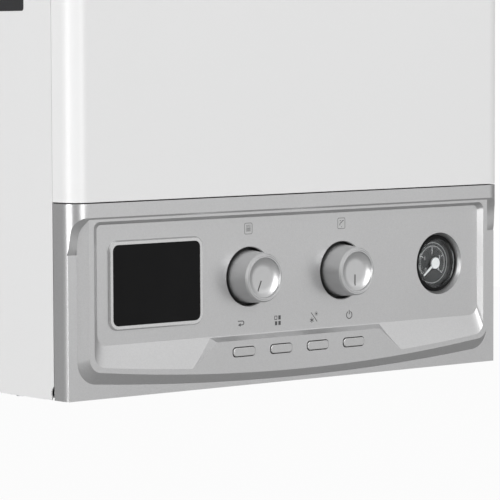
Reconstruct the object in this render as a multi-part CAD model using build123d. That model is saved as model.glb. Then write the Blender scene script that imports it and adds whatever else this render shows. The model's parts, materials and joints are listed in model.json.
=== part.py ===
from build123d import *
import os

# A wall-hung combi boiler: white sheet-steel casing with a pull-off front cover, and a silver control
# panel that swings down under it. The wall is the plane y = 0, the front faces -Y, and +Z is up.
# The origin is on the wall, midway between the two hanging slots. Sizes are in millimetres.

# Casing
casing_width = 400.0
casing_height = 700.0
casing_depth = 300.0
hang_above_bottom = 640.0
sheet = 1.0
corner_radius = 12.0
return_depth = 23.0
seam_gap = 0.3
cover_gap = 0.9
panel_seam = 0.7
flange_width = 22.0
frame_sheet = 1.2
frame_return = 25.0
slot_spacing = 300.0
slot_length = 30.0
slot_width = 11.0
rail_height = 24.0
stud_inset = 9.0
stud_radius = 2.5
ball_radius = 4.0
stud_heights = (200.0, 640.0)
clip_gap = 0.3
small_gap = 0.4

# Control fascia, measured back from the front plane of the casing and up from its bottom edge
fascia_height = 132.9
fascia_wall = 2.5
strip_height = 9.5
strip_slope = 1.3
flange_recess = 7.4
ridge_recess = 1.0
panel_recess = 5.2
cavity_recess = 9.5
base_margin = 8.2
base_low = 2.9
base_bow = 8.7
base_top_radius = 1.0
base_low_radius = 16.0
island_run = 5.8
ridge_low = 8.9
ridge_bow = 10.8
ridge_top_radius = 1.0
ridge_low_radius = 10.0
ridge_width = 4.0
scoop_low_radius = 9.0
scoop_top_radius = 5.0
wall_run = 2.4
left_wall_run = 5.5
crease_height = 36.2
panel_top_radius = 3.5
panel_low_radius = 8.0
shelf_centre = 0.8
shelf_top_half = 76.5
shelf_low_half = 103.4
shelf_top = 32.6
shelf_low = 11.5
shelf_run = 3.0

# Controls
control_height = 76.4
display_inset = 74.0
display_width = 76.0
display_height = 55.2
display_radius = 4.5
bezel_border = 3.0
bezel_rise = 1.6
window_thickness = 2.0
knob_from_display = 83.6
knob_pitch = 87.0
knob_face_radius = 16.5
knob_skirt_radius = 18.6
knob_rise = 16.9
knob_dish = 1.8
dish_step = 1.2
dish_floor = 7.5
well_radius = 20.7
well_wall = 1.8
well_floor_recess = 13.0
well_floor = 2.0
well_chamfer = 0.5
rim_groove = 0.25
shaft_radius = 3.0
running_gap = 0.06
encoder_size = 12.0
button_centre = 0.25
button_pitch = 34.3
button_count = 4
button_height = 24.5
button_width = 19.5
button_tall = 6.0
button_radius = 2.2
button_rise = 0.9
button_travel = 1.0
button_lip = 1.2
button_gap = 0.6
gauge_inset = 59.3
gauge_mouth_radius = 22.8
gauge_radius = 20.4
gauge_wall = 2.3
gauge_front_recess = 8.2
gauge_body_depth = 34.0
lens_recess = 6.4
lens_dome = 1.1
lens_wall = 1.0
lens_seat = 9.8
needle_recess = 9.1
needle_hub_depth = 1.4
gauge_dial_recess = 13.0
gauge_axle_radius = 1.0
needle_length = 14.2
needle_root = 0.9
needle_tip = 0.6
needle_hub = 4.1
board_recess = 19.6
board_thickness = 1.6

# Swing of the control panel
hinge_back = 20.5
hinge_up = 4.5
hinge_pin_radius = 2.0
ear_radius = 4.2
ear_inset = 10.0
notch_radius = 5.3
bracket_inset = 14.4
bracket_thickness = 2.0
bracket_reach = 42.0
housing_side_room = 20.0
board_side_room = 34.0
board_gauge_room = 50.7
board_inset = 8.0
board_to_gauge = 32.7
main_board_low = 14.0
main_board_tall = 88.0
terminal_length = 150.0
relay_start = 12.0
transformer_width = 48.0
terminal_gap = 22.0
housing_depth = 46.0
housing_low = 8.0
housing_high = 108.0
housing_wall = 2.2
lid_thickness = 1.6

# Connections under the casing
pipe_depth = 80.0
connection_pitch = 65.0
stub_drop = 18.0
thread_length = 16.0
thread_step = 1.2
stub_rise = 30.0
wide_thread_radius = 13.22
wide_bore = 9.5
narrow_thread_radius = 10.48
narrow_bore = 7.0
nut_thickness = 10.0
condensate_inset = 35.0
condensate_depth = 128.0
condensate_radius = 10.5
gland_inset = 40.0
gland_depth = 150.0
gland_radius = 9.0
cable_bore = 4.0

# Hydraulic and gas parts
block_low = 30.0
block_high = 75.0
plate_width = 150.0
plate_tall = 62.0
plate_deep = 54.0
plate_count = 12
pump_height = 150.0
pump_radius = 38.0
pump_motor_radius = 41.0
pump_motor_length = 62.0
vessel_radius = 122.0
vessel_depth = 46.0
vessel_height = 318.0
exchanger_place = -25.0
exchanger_height = 480.0
exchanger_radius = 95.0
exchanger_back = 62.0
exchanger_length = 140.0
exchanger_wall = 3.0
burner_radius = 34.0
door_thickness = 12.0
coil_turns = 5
fan_place = 125.0
fan_radius = 54.0
fan_depth = 44.0
fan_wall = 2.5
blade_count = 9
duct_radius = 20.0
duct_bend = 22.0
flue_depth = 130.0
flue_radius = 30.0
flue_wall = 1.5
air_radius = 50.0
adapter_height = 60.0
adapter_flange = 66.0
gas_valve_low = 300.0
gas_valve_high = 380.0
venturi_radius = 22.0
trap_radius = 20.0
trap_low = 150.0
trap_high = 300.0
pipe_radius = 7.5
gas_pipe_radius = 8.0
pipe_bend = 20.0

nut_height = 12.0
barrel_height = 55.0
barrel_radius = 18.0
plate_port = 60.0
plate_port_depth = -58.0
plate_low = 85.0
flow_port = 85.0
diverter_place = 125.0
diverter_seat_radius = 8.0
diverter_chamber = 22.0
diverter_stem_radius = 3.0
diverter_travel = 8.0
diverter_stem_length = 45.0
safety_place = 100.0
filling_place = 85.0
pump_x = 112.0
pump_y = -112.0
pump_depth = 40.0
pump_neck_depth = -96.0
rotor_radius = 28.0
rotor_depth = 18.0
hose_place = 88.0
hose_depth = -25.0
exchanger_ports = ((-85.0, -118.0), (40.0, -118.0))
drain_depth = -150.0
coil_mean = 68.0
electrode_places = ((42.0, -24.0), (-42.0, -24.0))
impeller_radius = 36.0
gas_turn = 268.0
hose_turn = 345.0
seal_thickness = 2.0
socket_radius = 30.15
bottom_screw_inset = 12.0

# Lines across the curved band in the fascia's top corners, from the outside to the island.
# Each end is (in from the casing's side, down from the strip's edge, back from the front).
band_spare = 0.15
band_lines = [
    ((0.9, 25.0, 8.2), (7.9, 25.0, 8.2)),
    ((1.54, 14.92, 6.13), (8.21, 17.1, 7.06)),
    ((1.93, 9.82, 5.47), (8.81, 11.9, 6.35)),
    ((2.91, 5.33, 4.16), (10.2, 6.8, 4.73)),
    ((4.79, 2.66, 2.41), (11.9, 3.7, 2.7)),
    ((7.17, 0.96, 1.01), (12.9, 2.3, 1.7)),
    ((10.7, 0.07, 0.07), (13.6, 1.5, 1.1)),
    ((14.0, 0.0, 0.0), (14.0, 1.3, 1.0)),
]

# Places worked out from the sizes above
half_width = casing_width / 2
z_bottom = -hang_above_bottom
z_top = z_bottom + casing_height
y_front = -casing_depth
y_seam = y_front + return_depth
hinge_y = y_front + hinge_back
hinge_z = z_bottom + hinge_up
z_controls = z_bottom + control_height
y_panel = y_front + panel_recess
y_cavity = y_front + cavity_recess
y_board = y_front + board_recess
stud_place = half_width - stud_inset
y_housing = y_seam
y_main_board = y_housing + 16
housing_half_width = half_width - housing_side_room
ear_inner = half_width - ear_inset
bracket_inner = half_width - bracket_inset
gland_place = half_width - gland_inset
bottom_screw_place = half_width - bottom_screw_inset
main_board_left = -(housing_half_width - board_inset)
boss_place = housing_half_width - board_inset
housing_bosses = [(x, z) for x in (-boss_place, boss_place) for z in (14, 102)]
condensate_place = -(half_width - condensate_inset)
display_centre = -(half_width - display_inset)
knob_places = (display_centre + knob_from_display, display_centre + knob_from_display + knob_pitch)
gauge_place = half_width - gauge_inset
main_board_right = gauge_place - board_to_gauge
board_left = -(half_width - board_side_room)
board_right = gauge_place - board_gauge_room
board_bosses = [(x, z) for x in (board_left + 4, board_right - 6) for z in (17, 109)]
board_posts = [(x, z) for x in (board_left, board_right + 10) for z in (18, 98)]
needle_zero = -128.0
fan_z = exchanger_height - fan_radius + duct_radius
fan_y_back = -218.0
gas_neck_depth = -195.0
safety_pipe_depth = -pipe_depth - barrel_radius - 20
button_places = [button_centre + button_pitch * (i - (button_count - 1) / 2) for i in range(button_count)]


def front_plane(x, y, z):
    # Plane at a point, its normal towards the front and its own y upwards
    return Plane(origin=(x, y, z), x_dir=(1, 0, 0), z_dir=(0, -1, 0))


def facing(y):
    # Plane across the boiler at depth y, its normal towards the front
    return Plane.XZ.offset(-y)


def slab(outline, y_near, y_far):
    # A flat outline, drawn in x and z, made solid from y_near back to y_far
    return extrude(facing(y_far) * outline, y_far - y_near)


def block(x0, x1, y0, y1, z0, z1):
    centre = ((x0 + x1) / 2, (y0 + y1) / 2, (z0 + z1) / 2)
    return Pos(*centre) * Box(x1 - x0, y1 - y0, z1 - z0)


def rod(start, direction, radius, length):
    return extrude(Plane(origin=start, z_dir=direction) * Circle(radius), length)


def tube(start, direction, radius, bore, length):
    ring = Circle(radius) - Circle(bore)
    return extrude(Plane(origin=start, z_dir=direction) * ring, length)


def turned(origin, direction, profile):
    # A solid turned about a line, from (radius, distance along the line) corners
    outline = Plane.XZ * make_face(Polyline(*profile, close=True))
    return Plane(origin=origin, z_dir=direction) * revolve(outline, Axis.Z)


def bent_pipe(points, radius, bend):
    # A round pipe on straight runs joined by bends
    path = FilletPolyline(*points, radius=bend)
    start = Vector(*points[0])
    direction = Vector(*points[1]) - start
    section = Plane(origin=start, z_dir=direction) * Circle(radius)
    return sweep(section, path=path)


def mirrored(solid):
    return mirror(solid, about=Plane.YZ)


def rounded(width, height, radius, x, z):
    return Pos(x, z) * RectangleRounded(width, height, radius)


# Casing

def drawn_tray(width, height, depth, radius, low):
    # A shallow tray seen from the front, with its front side edges and front top edge rounded
    body = block(-width / 2, width / 2, 0, depth, low, low + height)
    front_edges = [e for e in body.edges() if abs(e.center().Y) < 0.01]
    return fillet([e for e in front_edges if e.center().Z > low + 0.01], radius)


def make_front_cover():
    low = fascia_height + cover_gap
    height = casing_height - low
    depth = return_depth - seam_gap
    outer = drawn_tray(casing_width, height, depth, corner_radius, low)
    inner = drawn_tray(casing_width - 2 * sheet, height - 2 * sheet, depth, corner_radius - sheet, low + sheet)
    return Pos(0, y_front, z_bottom) * (outer - Pos(0, sheet, 0) * inner)


def make_cover_studs():
    # Ball studs on tabs inside the cover's side returns; they push straight into the clips
    studs = []
    for z in stud_heights:
        y_tab = y_seam - 8.0
        tab = block(stud_place - 6, half_width - sheet, y_tab, y_tab + 2, z_bottom + z - 8, z_bottom + z + 8)
        pin = rod((stud_place, y_tab, z_bottom + z), (0, 1, 0), stud_radius, 16)
        ball = Pos(stud_place, y_tab + 18, z_bottom + z) * Sphere(ball_radius)
        stud = tab + pin + ball
        studs += [stud, mirrored(stud)]
    return Compound(studs)


def make_cover_clips():
    # Two spring leaves on a foot behind the side flange, one pair for each stud
    clips = []
    leaf_gap = ball_radius + clip_gap
    for z in stud_heights:
        y_near = y_seam + sheet
        z_mid = z_bottom + z
        foot = block(stud_place - leaf_gap - 1, stud_place + leaf_gap + 1, y_near, y_near + 1.2, z_mid - 9, z_mid + 9)
        foot -= rod((stud_place, y_near - 1, z_mid), (0, 1, 0), leaf_gap, 4)
        inner_leaf = block(stud_place - leaf_gap - 1, stud_place - leaf_gap, y_near, y_near + 15, z_mid - 5, z_mid + 5)
        outer_leaf = Pos(2 * leaf_gap + 1, 0, 0) * inner_leaf
        clip = foot + inner_leaf + outer_leaf
        clips += [clip, mirrored(clip)]
    return Compound(clips)


def make_side_panel():
    # Right-hand side: folded sheet with front and rear flanges, notched for the panel's hinge
    flange_low = z_bottom + fascia_height + cover_gap
    flange_in = half_width - flange_width
    skin = block(half_width - sheet, half_width, y_seam, 0, z_bottom, z_top)
    front = block(flange_in, half_width, y_seam, y_seam + sheet, flange_low, z_top)
    foot = block(flange_in, half_width, y_seam + frame_return, -frame_return, z_bottom, z_bottom + sheet)
    notch = rod((half_width - 2 * flange_width, hinge_y, hinge_z), (1, 0, 0), notch_radius, 3 * flange_width)
    notch += block(half_width - 2 * flange_width, half_width + 1, y_seam - 1,
                   hinge_y + hinge_z - z_bottom + clip_gap, z_bottom - 1, hinge_z)
    side = skin + front + foot - notch
    for z in stud_heights:
        side -= rod((stud_place, y_seam - 1, z_bottom + z), (0, 1, 0), ball_radius + clip_gap, sheet + 2)
    return side


def make_back_frame():
    # Pressed back plate with side returns, a cross rib and two hanging slots
    inner = half_width - sheet
    low = z_bottom + 2 * sheet + frame_sheet
    high = z_top - sheet
    plate = block(-inner, inner, -frame_sheet, 0, low, high)
    right = block(inner - frame_sheet, inner, -frame_return, 0, low, high)
    frame = plate + right + mirrored(right)
    slot = slab(SlotOverall(slot_length, slot_width), -5, 5)
    for side in (-1, 1):
        frame -= Pos(side * slot_spacing / 2, 0, 0) * slot
    rib = block(-inner + 2 * frame_sheet, inner - 2 * frame_sheet, -8, -frame_sheet, -40, -38)
    return frame + rib + make_exchanger_bracket()


def make_top_panel():
    inner = half_width - sheet
    plate = block(-inner, inner, y_seam + sheet, 0, z_top - sheet, z_top)
    lip = block(-(half_width - flange_width), half_width - flange_width, y_seam, y_seam + sheet,
                z_top - flange_width, z_top)
    hole = rod((0, -flue_depth, z_top - 5), (0, 0, 1), air_radius + 6, 10)
    return plate + lip - hole


def make_bottom_plate():
    inner = half_width - sheet
    low = z_bottom + sheet
    plate = block(-inner, inner, y_front + hinge_back + 2 * ear_radius, 0, low, low + frame_sheet)
    back_lip = block(-inner + 4, inner - 4, -frame_sheet * 2, -frame_sheet, low, low + 20)
    plate = plate + back_lip
    for i in range(5):
        x = connection_pitch * (i - 2)
        plate -= rod((x, -pipe_depth, low - 2), (0, 0, 1), wide_thread_radius + 1.5, 6)
    plate -= rod((condensate_place, -condensate_depth, low - 2), (0, 0, 1), condensate_radius + 0.3, 6)
    plate -= rod((-safety_place, safety_pipe_depth, low - 2), (0, 0, 1), 7.3, 6)
    plate -= rod((gland_place, -gland_depth, low - 2), (0, 0, 1), gland_radius + 0.2, 6)
    return plate


def make_front_rail():
    # Cross rail over the control panel, behind the side flanges
    inner = half_width - sheet
    low = z_bottom + fascia_height + cover_gap
    face = block(-inner, inner, y_seam + sheet, y_seam + 2 * sheet, low, low + rail_height)
    fold = block(-inner, inner, y_seam + sheet, y_seam + 16, low + rail_height - sheet, low + rail_height)
    return face + fold


def make_cover_seal():
    # Foam frame stuck to the front flanges and the rail
    outer_w = casing_width - 2 * flange_width + 16
    low = z_bottom + fascia_height + 12
    high = z_top - 8
    middle = (low + high) / 2
    ring = RectangleRounded(outer_w, high - low, 8) - RectangleRounded(outer_w - 14, high - low - 14, 4)
    strip = slab(Pos(0, middle) * ring, y_seam - 3, y_seam)
    bridge = block(-(half_width - flange_width), half_width - flange_width, y_seam, y_seam + sheet, low, low + 7)
    return strip + bridge


# Control panel

def bowed_outline(half, top, low, bow, top_radius, low_radius):
    # Straight top and sides; the bottom edge is an arc, lowest in the middle
    corner = low + bow
    sides = Polyline((-half, corner), (-half, top), (half, top), (half, corner))
    if bow > 0:
        bottom = ThreePointArc((half, corner), (0, low), (-half, corner))
    else:
        bottom = Line((half, corner), (-half, corner))
    face = make_face(sides + bottom)
    face = fillet(face.vertices().group_by(Axis.Y)[-1], top_radius)
    return fillet(face.vertices().group_by(Axis.Y)[0], low_radius)


def shelf_outline(grow):
    top = shelf_top + grow
    points = [(-shelf_low_half - grow, shelf_low), (-shelf_top_half - grow, top),
              (shelf_top_half + grow, top), (shelf_low_half + grow, shelf_low)]
    return Pos(shelf_centre, 0) * make_face(Polyline(*points, close=True))


def flange_outline(strip_edge):
    # Everything below the strip; its two top corners stop halfway across the curved band
    corner = []
    for near, far in band_lines:
        corner.append((half_width - (near[0] + far[0]) / 2, strip_edge - (near[1] + far[1]) / 2))
    side = [(half_width + 1, -1), (half_width + 1, corner[0][1])]
    half = side + corner + [(corner[-1][0], strip_edge - strip_slope)]
    other = [(-x, z) for x, z in reversed(half)]
    return make_face(Polyline(*half, *other, close=True))


def corner_band(strip_edge):
    # Ruled face that lifts the flange into the strip at the left corner, both long edges run past the body
    outer = []
    inner = []
    for near, far in band_lines:
        points = [Vector(inset - half_width, recess, strip_edge - drop) for inset, drop, recess in (near, far)]
        spare = (points[1] - points[0]) * band_spare
        outer.append(points[0] - spare)
        inner.append(points[1] + spare)
    return Face.make_surface_from_curves(Edge.make_spline(outer), Edge.make_spline(inner))


def make_fascia_relief():
    # The moulded front: strip, flange, ridge, recessed panel, scoop and button shelf
    strip_edge = fascia_height - strip_height
    depth = return_depth - panel_seam
    section = Pos(0, depth / 2) * Rectangle(casing_width, depth)
    section = fillet(section.vertices().group_by(Axis.Y)[0], corner_radius)
    envelope = extrude(section, fascia_height)
    fascia = envelope - slab(flange_outline(strip_edge), -5, flange_recess)
    step = [(-5, strip_edge), (0, strip_edge), (ridge_recess, strip_edge - strip_slope),
            (ridge_recess, strip_edge - 2 * strip_slope), (-5, strip_edge - 2 * strip_slope)]
    step_half = half_width - band_lines[-1][0][0]
    fascia -= extrude(Plane.YZ * make_face(Polyline(*step, close=True)), step_half, both=True)
    band = corner_band(strip_edge)
    ahead = extrude(band, 15, dir=(0, -1, 0))
    behind = extrude(band, 9, dir=(0, 1, 0)) & envelope
    fascia = fascia - ahead - mirrored(ahead)
    fascia = fascia + behind + mirrored(behind)
    inside = strip_edge + 1
    base_half = half_width - base_margin
    base = bowed_outline(base_half, inside, base_low, base_bow, base_top_radius, base_low_radius)
    ridge_half = base_half - island_run
    ridge = bowed_outline(ridge_half, inside, ridge_low, ridge_bow, ridge_top_radius, ridge_low_radius)
    island = loft([facing(flange_recess) * base, facing(ridge_recess) * ridge], ruled=True)
    scoop_half = ridge_half - ridge_width
    scoop = bowed_outline(scoop_half, strip_edge - ridge_width + ridge_recess, ridge_low + ridge_width,
                          ridge_bow - ridge_width / 4, scoop_top_radius, scoop_low_radius)
    floor_top = strip_edge - ridge_width + ridge_recess - wall_run
    floor_half = scoop_half - (wall_run + left_wall_run) / 2
    floor = bowed_outline(floor_half, floor_top, crease_height, 0, panel_top_radius, panel_low_radius)
    floor = Pos((left_wall_run - wall_run) / 2, 0) * floor
    pocket = loft([facing(panel_recess) * floor, facing(ridge_recess) * scoop], ruled=True)
    pocket += slab(scoop, ridge_recess - 3, ridge_recess)
    shelf = loft([facing(panel_recess) * shelf_outline(shelf_run), facing(ridge_recess) * shelf_outline(0)],
                 ruled=True)
    fascia = fascia + island
    fascia = fascia - pocket
    fascia = fascia + (shelf & island)
    return Pos(0, y_front, z_bottom) * fascia


def make_control_fascia():
    # The moulding with its cavity, knob wells, gauge mouth, window and button holes, bosses and hinge ears
    inner = half_width - fascia_wall
    fascia = make_fascia_relief()
    fascia -= block(-inner, inner, y_cavity, y_seam, z_bottom + fascia_wall, z_bottom + fascia_height - fascia_wall)
    bosses = []
    for x, z in housing_bosses:
        bosses.append(rod((x, y_cavity - 1, z_bottom + z), (0, 1, 0), 4, y_housing - y_cavity + 1))
    for x, z in board_bosses:
        bosses.append(rod((x, y_cavity - 1, z_bottom + z), (0, 1, 0), 3, y_board - y_cavity + 1))
    for x in knob_places:
        cup_depth = well_floor_recess + well_floor - panel_recess
        bosses.append(rod((x, y_panel, z_controls), (0, 1, 0), well_radius + well_wall, cup_depth))
    fascia += bosses
    depth = well_floor_recess - panel_recess
    wide = well_radius + well_chamfer
    well = [(0, -1), (wide, -1), (wide, 0), (well_radius, well_chamfer), (well_radius, depth), (0, depth)]
    for x in knob_places:
        fascia -= turned((x, y_panel, z_controls), (0, 1, 0), well)
        fascia -= rod((x, y_panel, z_controls), (0, 1, 0), shaft_radius + 1, 20)
    mouth = [(0, -1), (gauge_mouth_radius, -1), (gauge_mouth_radius, 0),
             (gauge_radius + small_gap, cavity_recess - panel_recess), (gauge_radius + small_gap, 20), (0, 20)]
    fascia -= turned((gauge_place, y_panel, z_controls), (0, 1, 0), mouth)
    hole = rounded(display_width + small_gap, display_height + small_gap, display_radius, display_centre, z_controls)
    fascia -= slab(hole, y_panel - 5, y_cavity + 1)
    for x in button_places:
        slot = rounded(button_width + 2 * button_gap, button_tall + 2 * button_gap, button_radius + button_gap,
                       x, z_bottom + button_height)
        fascia -= slab(slot, y_front - 5, y_cavity + 1)
    wall_in = half_width - fascia_wall
    ear = rod((ear_inner, hinge_y, hinge_z), (1, 0, 0), ear_radius, wall_in - ear_inner + 1)
    bore = rod((ear_inner - 1, hinge_y, hinge_z), (1, 0, 0), hinge_pin_radius + running_gap, 8)
    gap = block(bracket_inner - 1.4, ear_inner - 0.2, y_cavity, y_seam, z_bottom - 1, z_bottom + fascia_wall + 0.1)
    fascia = fascia - gap - mirrored(gap)
    fascia = fascia + ear + mirrored(ear)
    return fascia - bore - mirrored(bore)


def make_display_bezel():
    outer = rounded(display_width + 2 * bezel_border, display_height + 2 * bezel_border,
                    display_radius + bezel_border, display_centre, z_controls)
    inner = rounded(display_width, display_height, display_radius, display_centre, z_controls)
    ring = slab(outer, y_panel - bezel_rise, y_panel)
    rim = ring.faces().sort_by(Axis.Y)[0].edges()
    return chamfer(rim, bezel_rise * 0.6) - slab(inner, y_panel - 5, y_panel + 1)


def make_display_window():
    glass = rounded(display_width - small_gap, display_height - small_gap, display_radius, display_centre, z_controls)
    return slab(glass, y_panel - window_thickness / 2, y_panel + window_thickness / 2)


def make_display_module():
    y_near = y_panel + window_thickness / 2
    screen = rounded(display_width - 3, display_height - 3, 2, display_centre, z_controls)
    return slab(screen, y_near, y_board)


def make_knob(x):
    # Tapered cap with a chamfered rim, a groove, a dished face and its shaft
    back = -(well_floor_recess - panel_recess - 0.5)
    shaft_end = -(board_recess - panel_recess - 1.5)
    face = knob_rise
    rim_in = knob_face_radius - 2.2
    groove = knob_face_radius - 1.3
    lines = Polyline((0, shaft_end), (shaft_radius, shaft_end), (shaft_radius, back), (knob_skirt_radius, back),
                     (knob_skirt_radius, 0), (knob_face_radius + 0.6, face - 1.2),
                     (knob_face_radius - 0.4, face), (groove + rim_groove, face), (groove, face - rim_groove),
                     (groove - rim_groove, face), (rim_in, face), (rim_in - 0.5, face - dish_step))
    dish_half = rim_in - 0.5
    dish_edge = face - dish_step
    bowl = dish_half - dish_floor
    middle_rise = dome_drop(bowl, knob_dish)
    dish = ThreePointArc((dish_half, dish_edge), (dish_floor + bowl / 2, dish_edge - knob_dish + middle_rise),
                         (dish_floor, dish_edge - knob_dish))
    floor = Line((dish_floor, dish_edge - knob_dish), (0, dish_edge - knob_dish))
    axis_line = Line((0, dish_edge - knob_dish), (0, shaft_end))
    outline = Plane.XZ * make_face(lines + dish + floor + axis_line)
    knob = Plane(origin=(x, y_panel, z_controls), z_dir=(0, -1, 0)) * revolve(outline, Axis.Z)
    return knob


def make_encoders():
    parts = []
    y_near = y_front + well_floor_recess + well_floor + 0.3
    half = encoder_size / 2
    for x in knob_places:
        body = block(x - half, x + half, y_near, y_board, z_controls - half, z_controls + half)
        body -= rod((x, y_near - 1, z_controls), (0, 1, 0), shaft_radius + running_gap, 20)
        parts.append(body)
    return parts


def make_button(x):
    z = z_bottom + button_height
    cap = slab(rounded(button_width, button_tall, button_radius, x, z), y_front + ridge_recess - button_rise,
               y_cavity + 1)
    lip = slab(rounded(button_width + 2.6, button_tall + 2.6, button_radius, x, z), y_cavity + 0.5,
               y_cavity + 0.5 + button_lip)
    stem = rod((x, y_cavity + 1, z), (0, 1, 0), 2, 2)
    rim = cap.faces().sort_by(Axis.Y)[0].edges()
    return fillet(rim, 0.5) + lip + stem


def make_control_board():
    # Board behind the wells, with a switch block behind each button
    board = block(board_left, board_right, y_board, y_board + board_thickness, z_bottom + 13, z_bottom + 112)
    z = z_bottom + button_height
    y_tip = y_cavity + 3 + button_travel + 0.4
    for x in button_places:
        board += block(x - 4, x + 4, y_tip, y_board, z - 3, z + 3)
    return Compound([board, make_display_module()] + make_encoders())


def make_gauge_body():
    # Black case with a stepped bezel; its axis runs back from the front plane
    inner = gauge_radius - gauge_wall
    seat = gauge_dial_recess + 0.8
    back = gauge_front_recess + gauge_body_depth
    bore = gauge_axle_radius + running_gap
    profile = [(inner, gauge_front_recess), (gauge_radius - 0.6, gauge_front_recess),
               (gauge_radius, gauge_front_recess + 0.6), (gauge_radius, back - 8), (gauge_radius - 5, back),
               (0, back), (0, seat + 7), (bore, seat + 7), (bore, seat), (inner, seat)]
    return turned((gauge_place, y_front, z_controls), (0, 1, 0), profile)


def make_gauge_dial():
    dial = rod((gauge_place, y_front + gauge_dial_recess, z_controls), (0, 1, 0), gauge_radius - gauge_wall - 0.1, 0.8)
    return dial - rod((gauge_place, y_front, z_controls), (0, 1, 0), gauge_axle_radius + 0.3, 30)


def dome_drop(half, depth):
    # How far a shallow dome has fallen from its peak, half-way out to its edge
    sphere = (half ** 2 + depth ** 2) / (2 * depth)
    return sphere - (sphere ** 2 - half ** 2 / 4) ** 0.5


def make_gauge_glass():
    # Domed clear lens with a short skirt that drops into the gauge case
    rim = gauge_radius - gauge_wall - 0.1
    edge = rim - 0.5
    outer_edge = lens_recess + lens_dome
    inner_edge = outer_edge + lens_wall
    outer = ThreePointArc((0, lens_recess), (edge / 2, lens_recess + dome_drop(edge, lens_dome)),
                          (edge, outer_edge))
    skirt = Polyline((edge, outer_edge), (rim, outer_edge + 0.5), (rim, lens_seat), (rim - lens_wall, lens_seat),
                     (rim - lens_wall, inner_edge))
    inner_peak = lens_recess + lens_wall
    inner_half = rim - lens_wall
    inner = ThreePointArc((inner_half, inner_edge), (inner_half / 2, inner_peak + dome_drop(inner_half, lens_dome)),
                          (0, inner_peak))
    outline = Plane.XZ * make_face(outer + skirt + inner + Line((0, inner_peak), (0, lens_recess)))
    return Plane(origin=(gauge_place, y_front, z_controls), z_dir=(0, 1, 0)) * revolve(outline, Axis.Z)


def make_gauge_needle():
    # White pointer at zero, low on the left, on a hub and an axle
    y_hub = y_front + needle_recess
    y_dial = y_front + gauge_dial_recess
    pointer = make_face(Polyline((needle_root, 0), (needle_tip, needle_length), (-needle_tip, needle_length),
                                 (-needle_root, 0), close=True))
    flat = slab(pointer, 0.5, 1.2)
    hub = rod((0, 0, 0), (0, 1, 0), needle_hub, needle_hub_depth)
    hub += rod((0, 0, 0), (0, 1, 0), 2 * gauge_axle_radius, y_dial - 0.4 - y_hub)
    axle = rod((0, 0, 0), (0, 1, 0), gauge_axle_radius, y_dial + 6 - y_hub)
    needle = Rot(0, needle_zero, 0) * (flat + hub + axle)
    return Pos(gauge_place, y_hub, z_controls) * needle


def make_panel_housing():
    # Tray behind the fascia, open to the back, with bosses for the main board
    half = housing_half_width
    low = z_bottom + housing_low
    high = z_bottom + housing_high
    back = y_housing + housing_depth
    wall = housing_wall
    tray = block(-half, half, y_housing, back, low, high)
    tray = fillet(tray.edges().filter_by(Axis.Y), 6)
    tray -= block(-half + wall, half - wall, y_housing + wall, back + 1, low + wall, high - wall)
    for x, z in board_posts:
        tray += rod((x, y_housing + wall - 0.5, z_bottom + z), (0, 1, 0), 3.5, y_main_board - y_housing - wall + 0.5)
    tray -= rod((gauge_place, y_housing - 1, z_controls), (0, 1, 0), gauge_radius + 0.3, wall + 2)
    tray -= block(-20, 20, y_housing - 1, y_housing + wall + 1, z_bottom + 40, z_bottom + 56)
    return tray


def make_housing_lid():
    half = housing_half_width
    y_near = y_housing + housing_depth
    lid = slab(rounded(2 * half, housing_high - housing_low, 6, 0, z_bottom + (housing_low + housing_high) / 2),
               y_near, y_near + lid_thickness)
    lip_half = half - housing_wall - 0.3
    z_mid = z_bottom + (housing_low + housing_high) / 2
    tall = housing_high - housing_low - 2 * housing_wall - 0.6
    ring = rounded(2 * lip_half, tall, 3, 0, z_mid) - rounded(2 * lip_half - 3, tall - 3, 2, 0, z_mid)
    lid += slab(ring, y_near - 3, y_near)
    for i in range(6):
        lid -= slab(rounded(3, 46, 1.4, 60 + 9 * i, z_mid), y_near - 5, y_near + 5)
    return lid


def make_main_board():
    board = block(main_board_left, main_board_right, y_main_board, y_main_board + board_thickness,
                  z_bottom + main_board_low, z_bottom + main_board_low + main_board_tall)
    return Compound([board, make_transformer(), make_terminal_block()] + make_relays())


def make_relays():
    y_near = y_main_board + board_thickness
    parts = []
    for i in range(4):
        x = main_board_left + relay_start + 20 * i
        parts.append(block(x, x + 15, y_near, y_near + 12, z_bottom + 76, z_bottom + 96))
    return parts


def make_transformer():
    y_near = y_main_board + board_thickness
    x = main_board_left + relay_start
    core = block(x, x + transformer_width, y_near, y_near + 16, z_bottom + 24, z_bottom + 62)
    coil = block(x + 7, x + transformer_width - 7, y_near + 16, y_near + 20, z_bottom + 29, z_bottom + 57)
    return core + coil


def make_terminal_block():
    y_near = y_main_board + board_thickness
    x = main_board_left + relay_start + transformer_width + terminal_gap
    body = block(x, x + terminal_length, y_near, y_near + 13, z_bottom + 20, z_bottom + 34)
    for i in range(12):
        start = x + 4 + 12 * i
        body -= block(start, start + 7, y_near + 9, y_near + 14, z_bottom + 23, z_bottom + 31)
    return body


def make_hinge_brackets():
    # Folded plates on the bottom plate, each with a pin for one ear of the panel
    low = z_bottom + sheet + frame_sheet
    outer = bracket_inner + bracket_thickness
    y_near = hinge_y - ear_radius
    upright = block(bracket_inner, outer, y_near, y_near + bracket_reach, low, hinge_z + ear_radius)
    upright -= block(bracket_inner - 1, outer + 1, y_near - 1, y_front + hinge_back + 2 * ear_radius, low - 1,
                     low + 0.4)
    foot = block(bracket_inner - 13, outer, y_near + 14, y_near + bracket_reach, low, low + bracket_thickness)
    pin = rod((outer - 1, hinge_y, hinge_z), (1, 0, 0), hinge_pin_radius, ear_inner + 7 - outer)
    bracket = upright + foot + pin
    return Compound([bracket, mirrored(bracket)])


# Connections, hydraulics, combustion and flue

def up(z):
    # Height above the bottom edge of the casing
    return z_bottom + z


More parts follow.
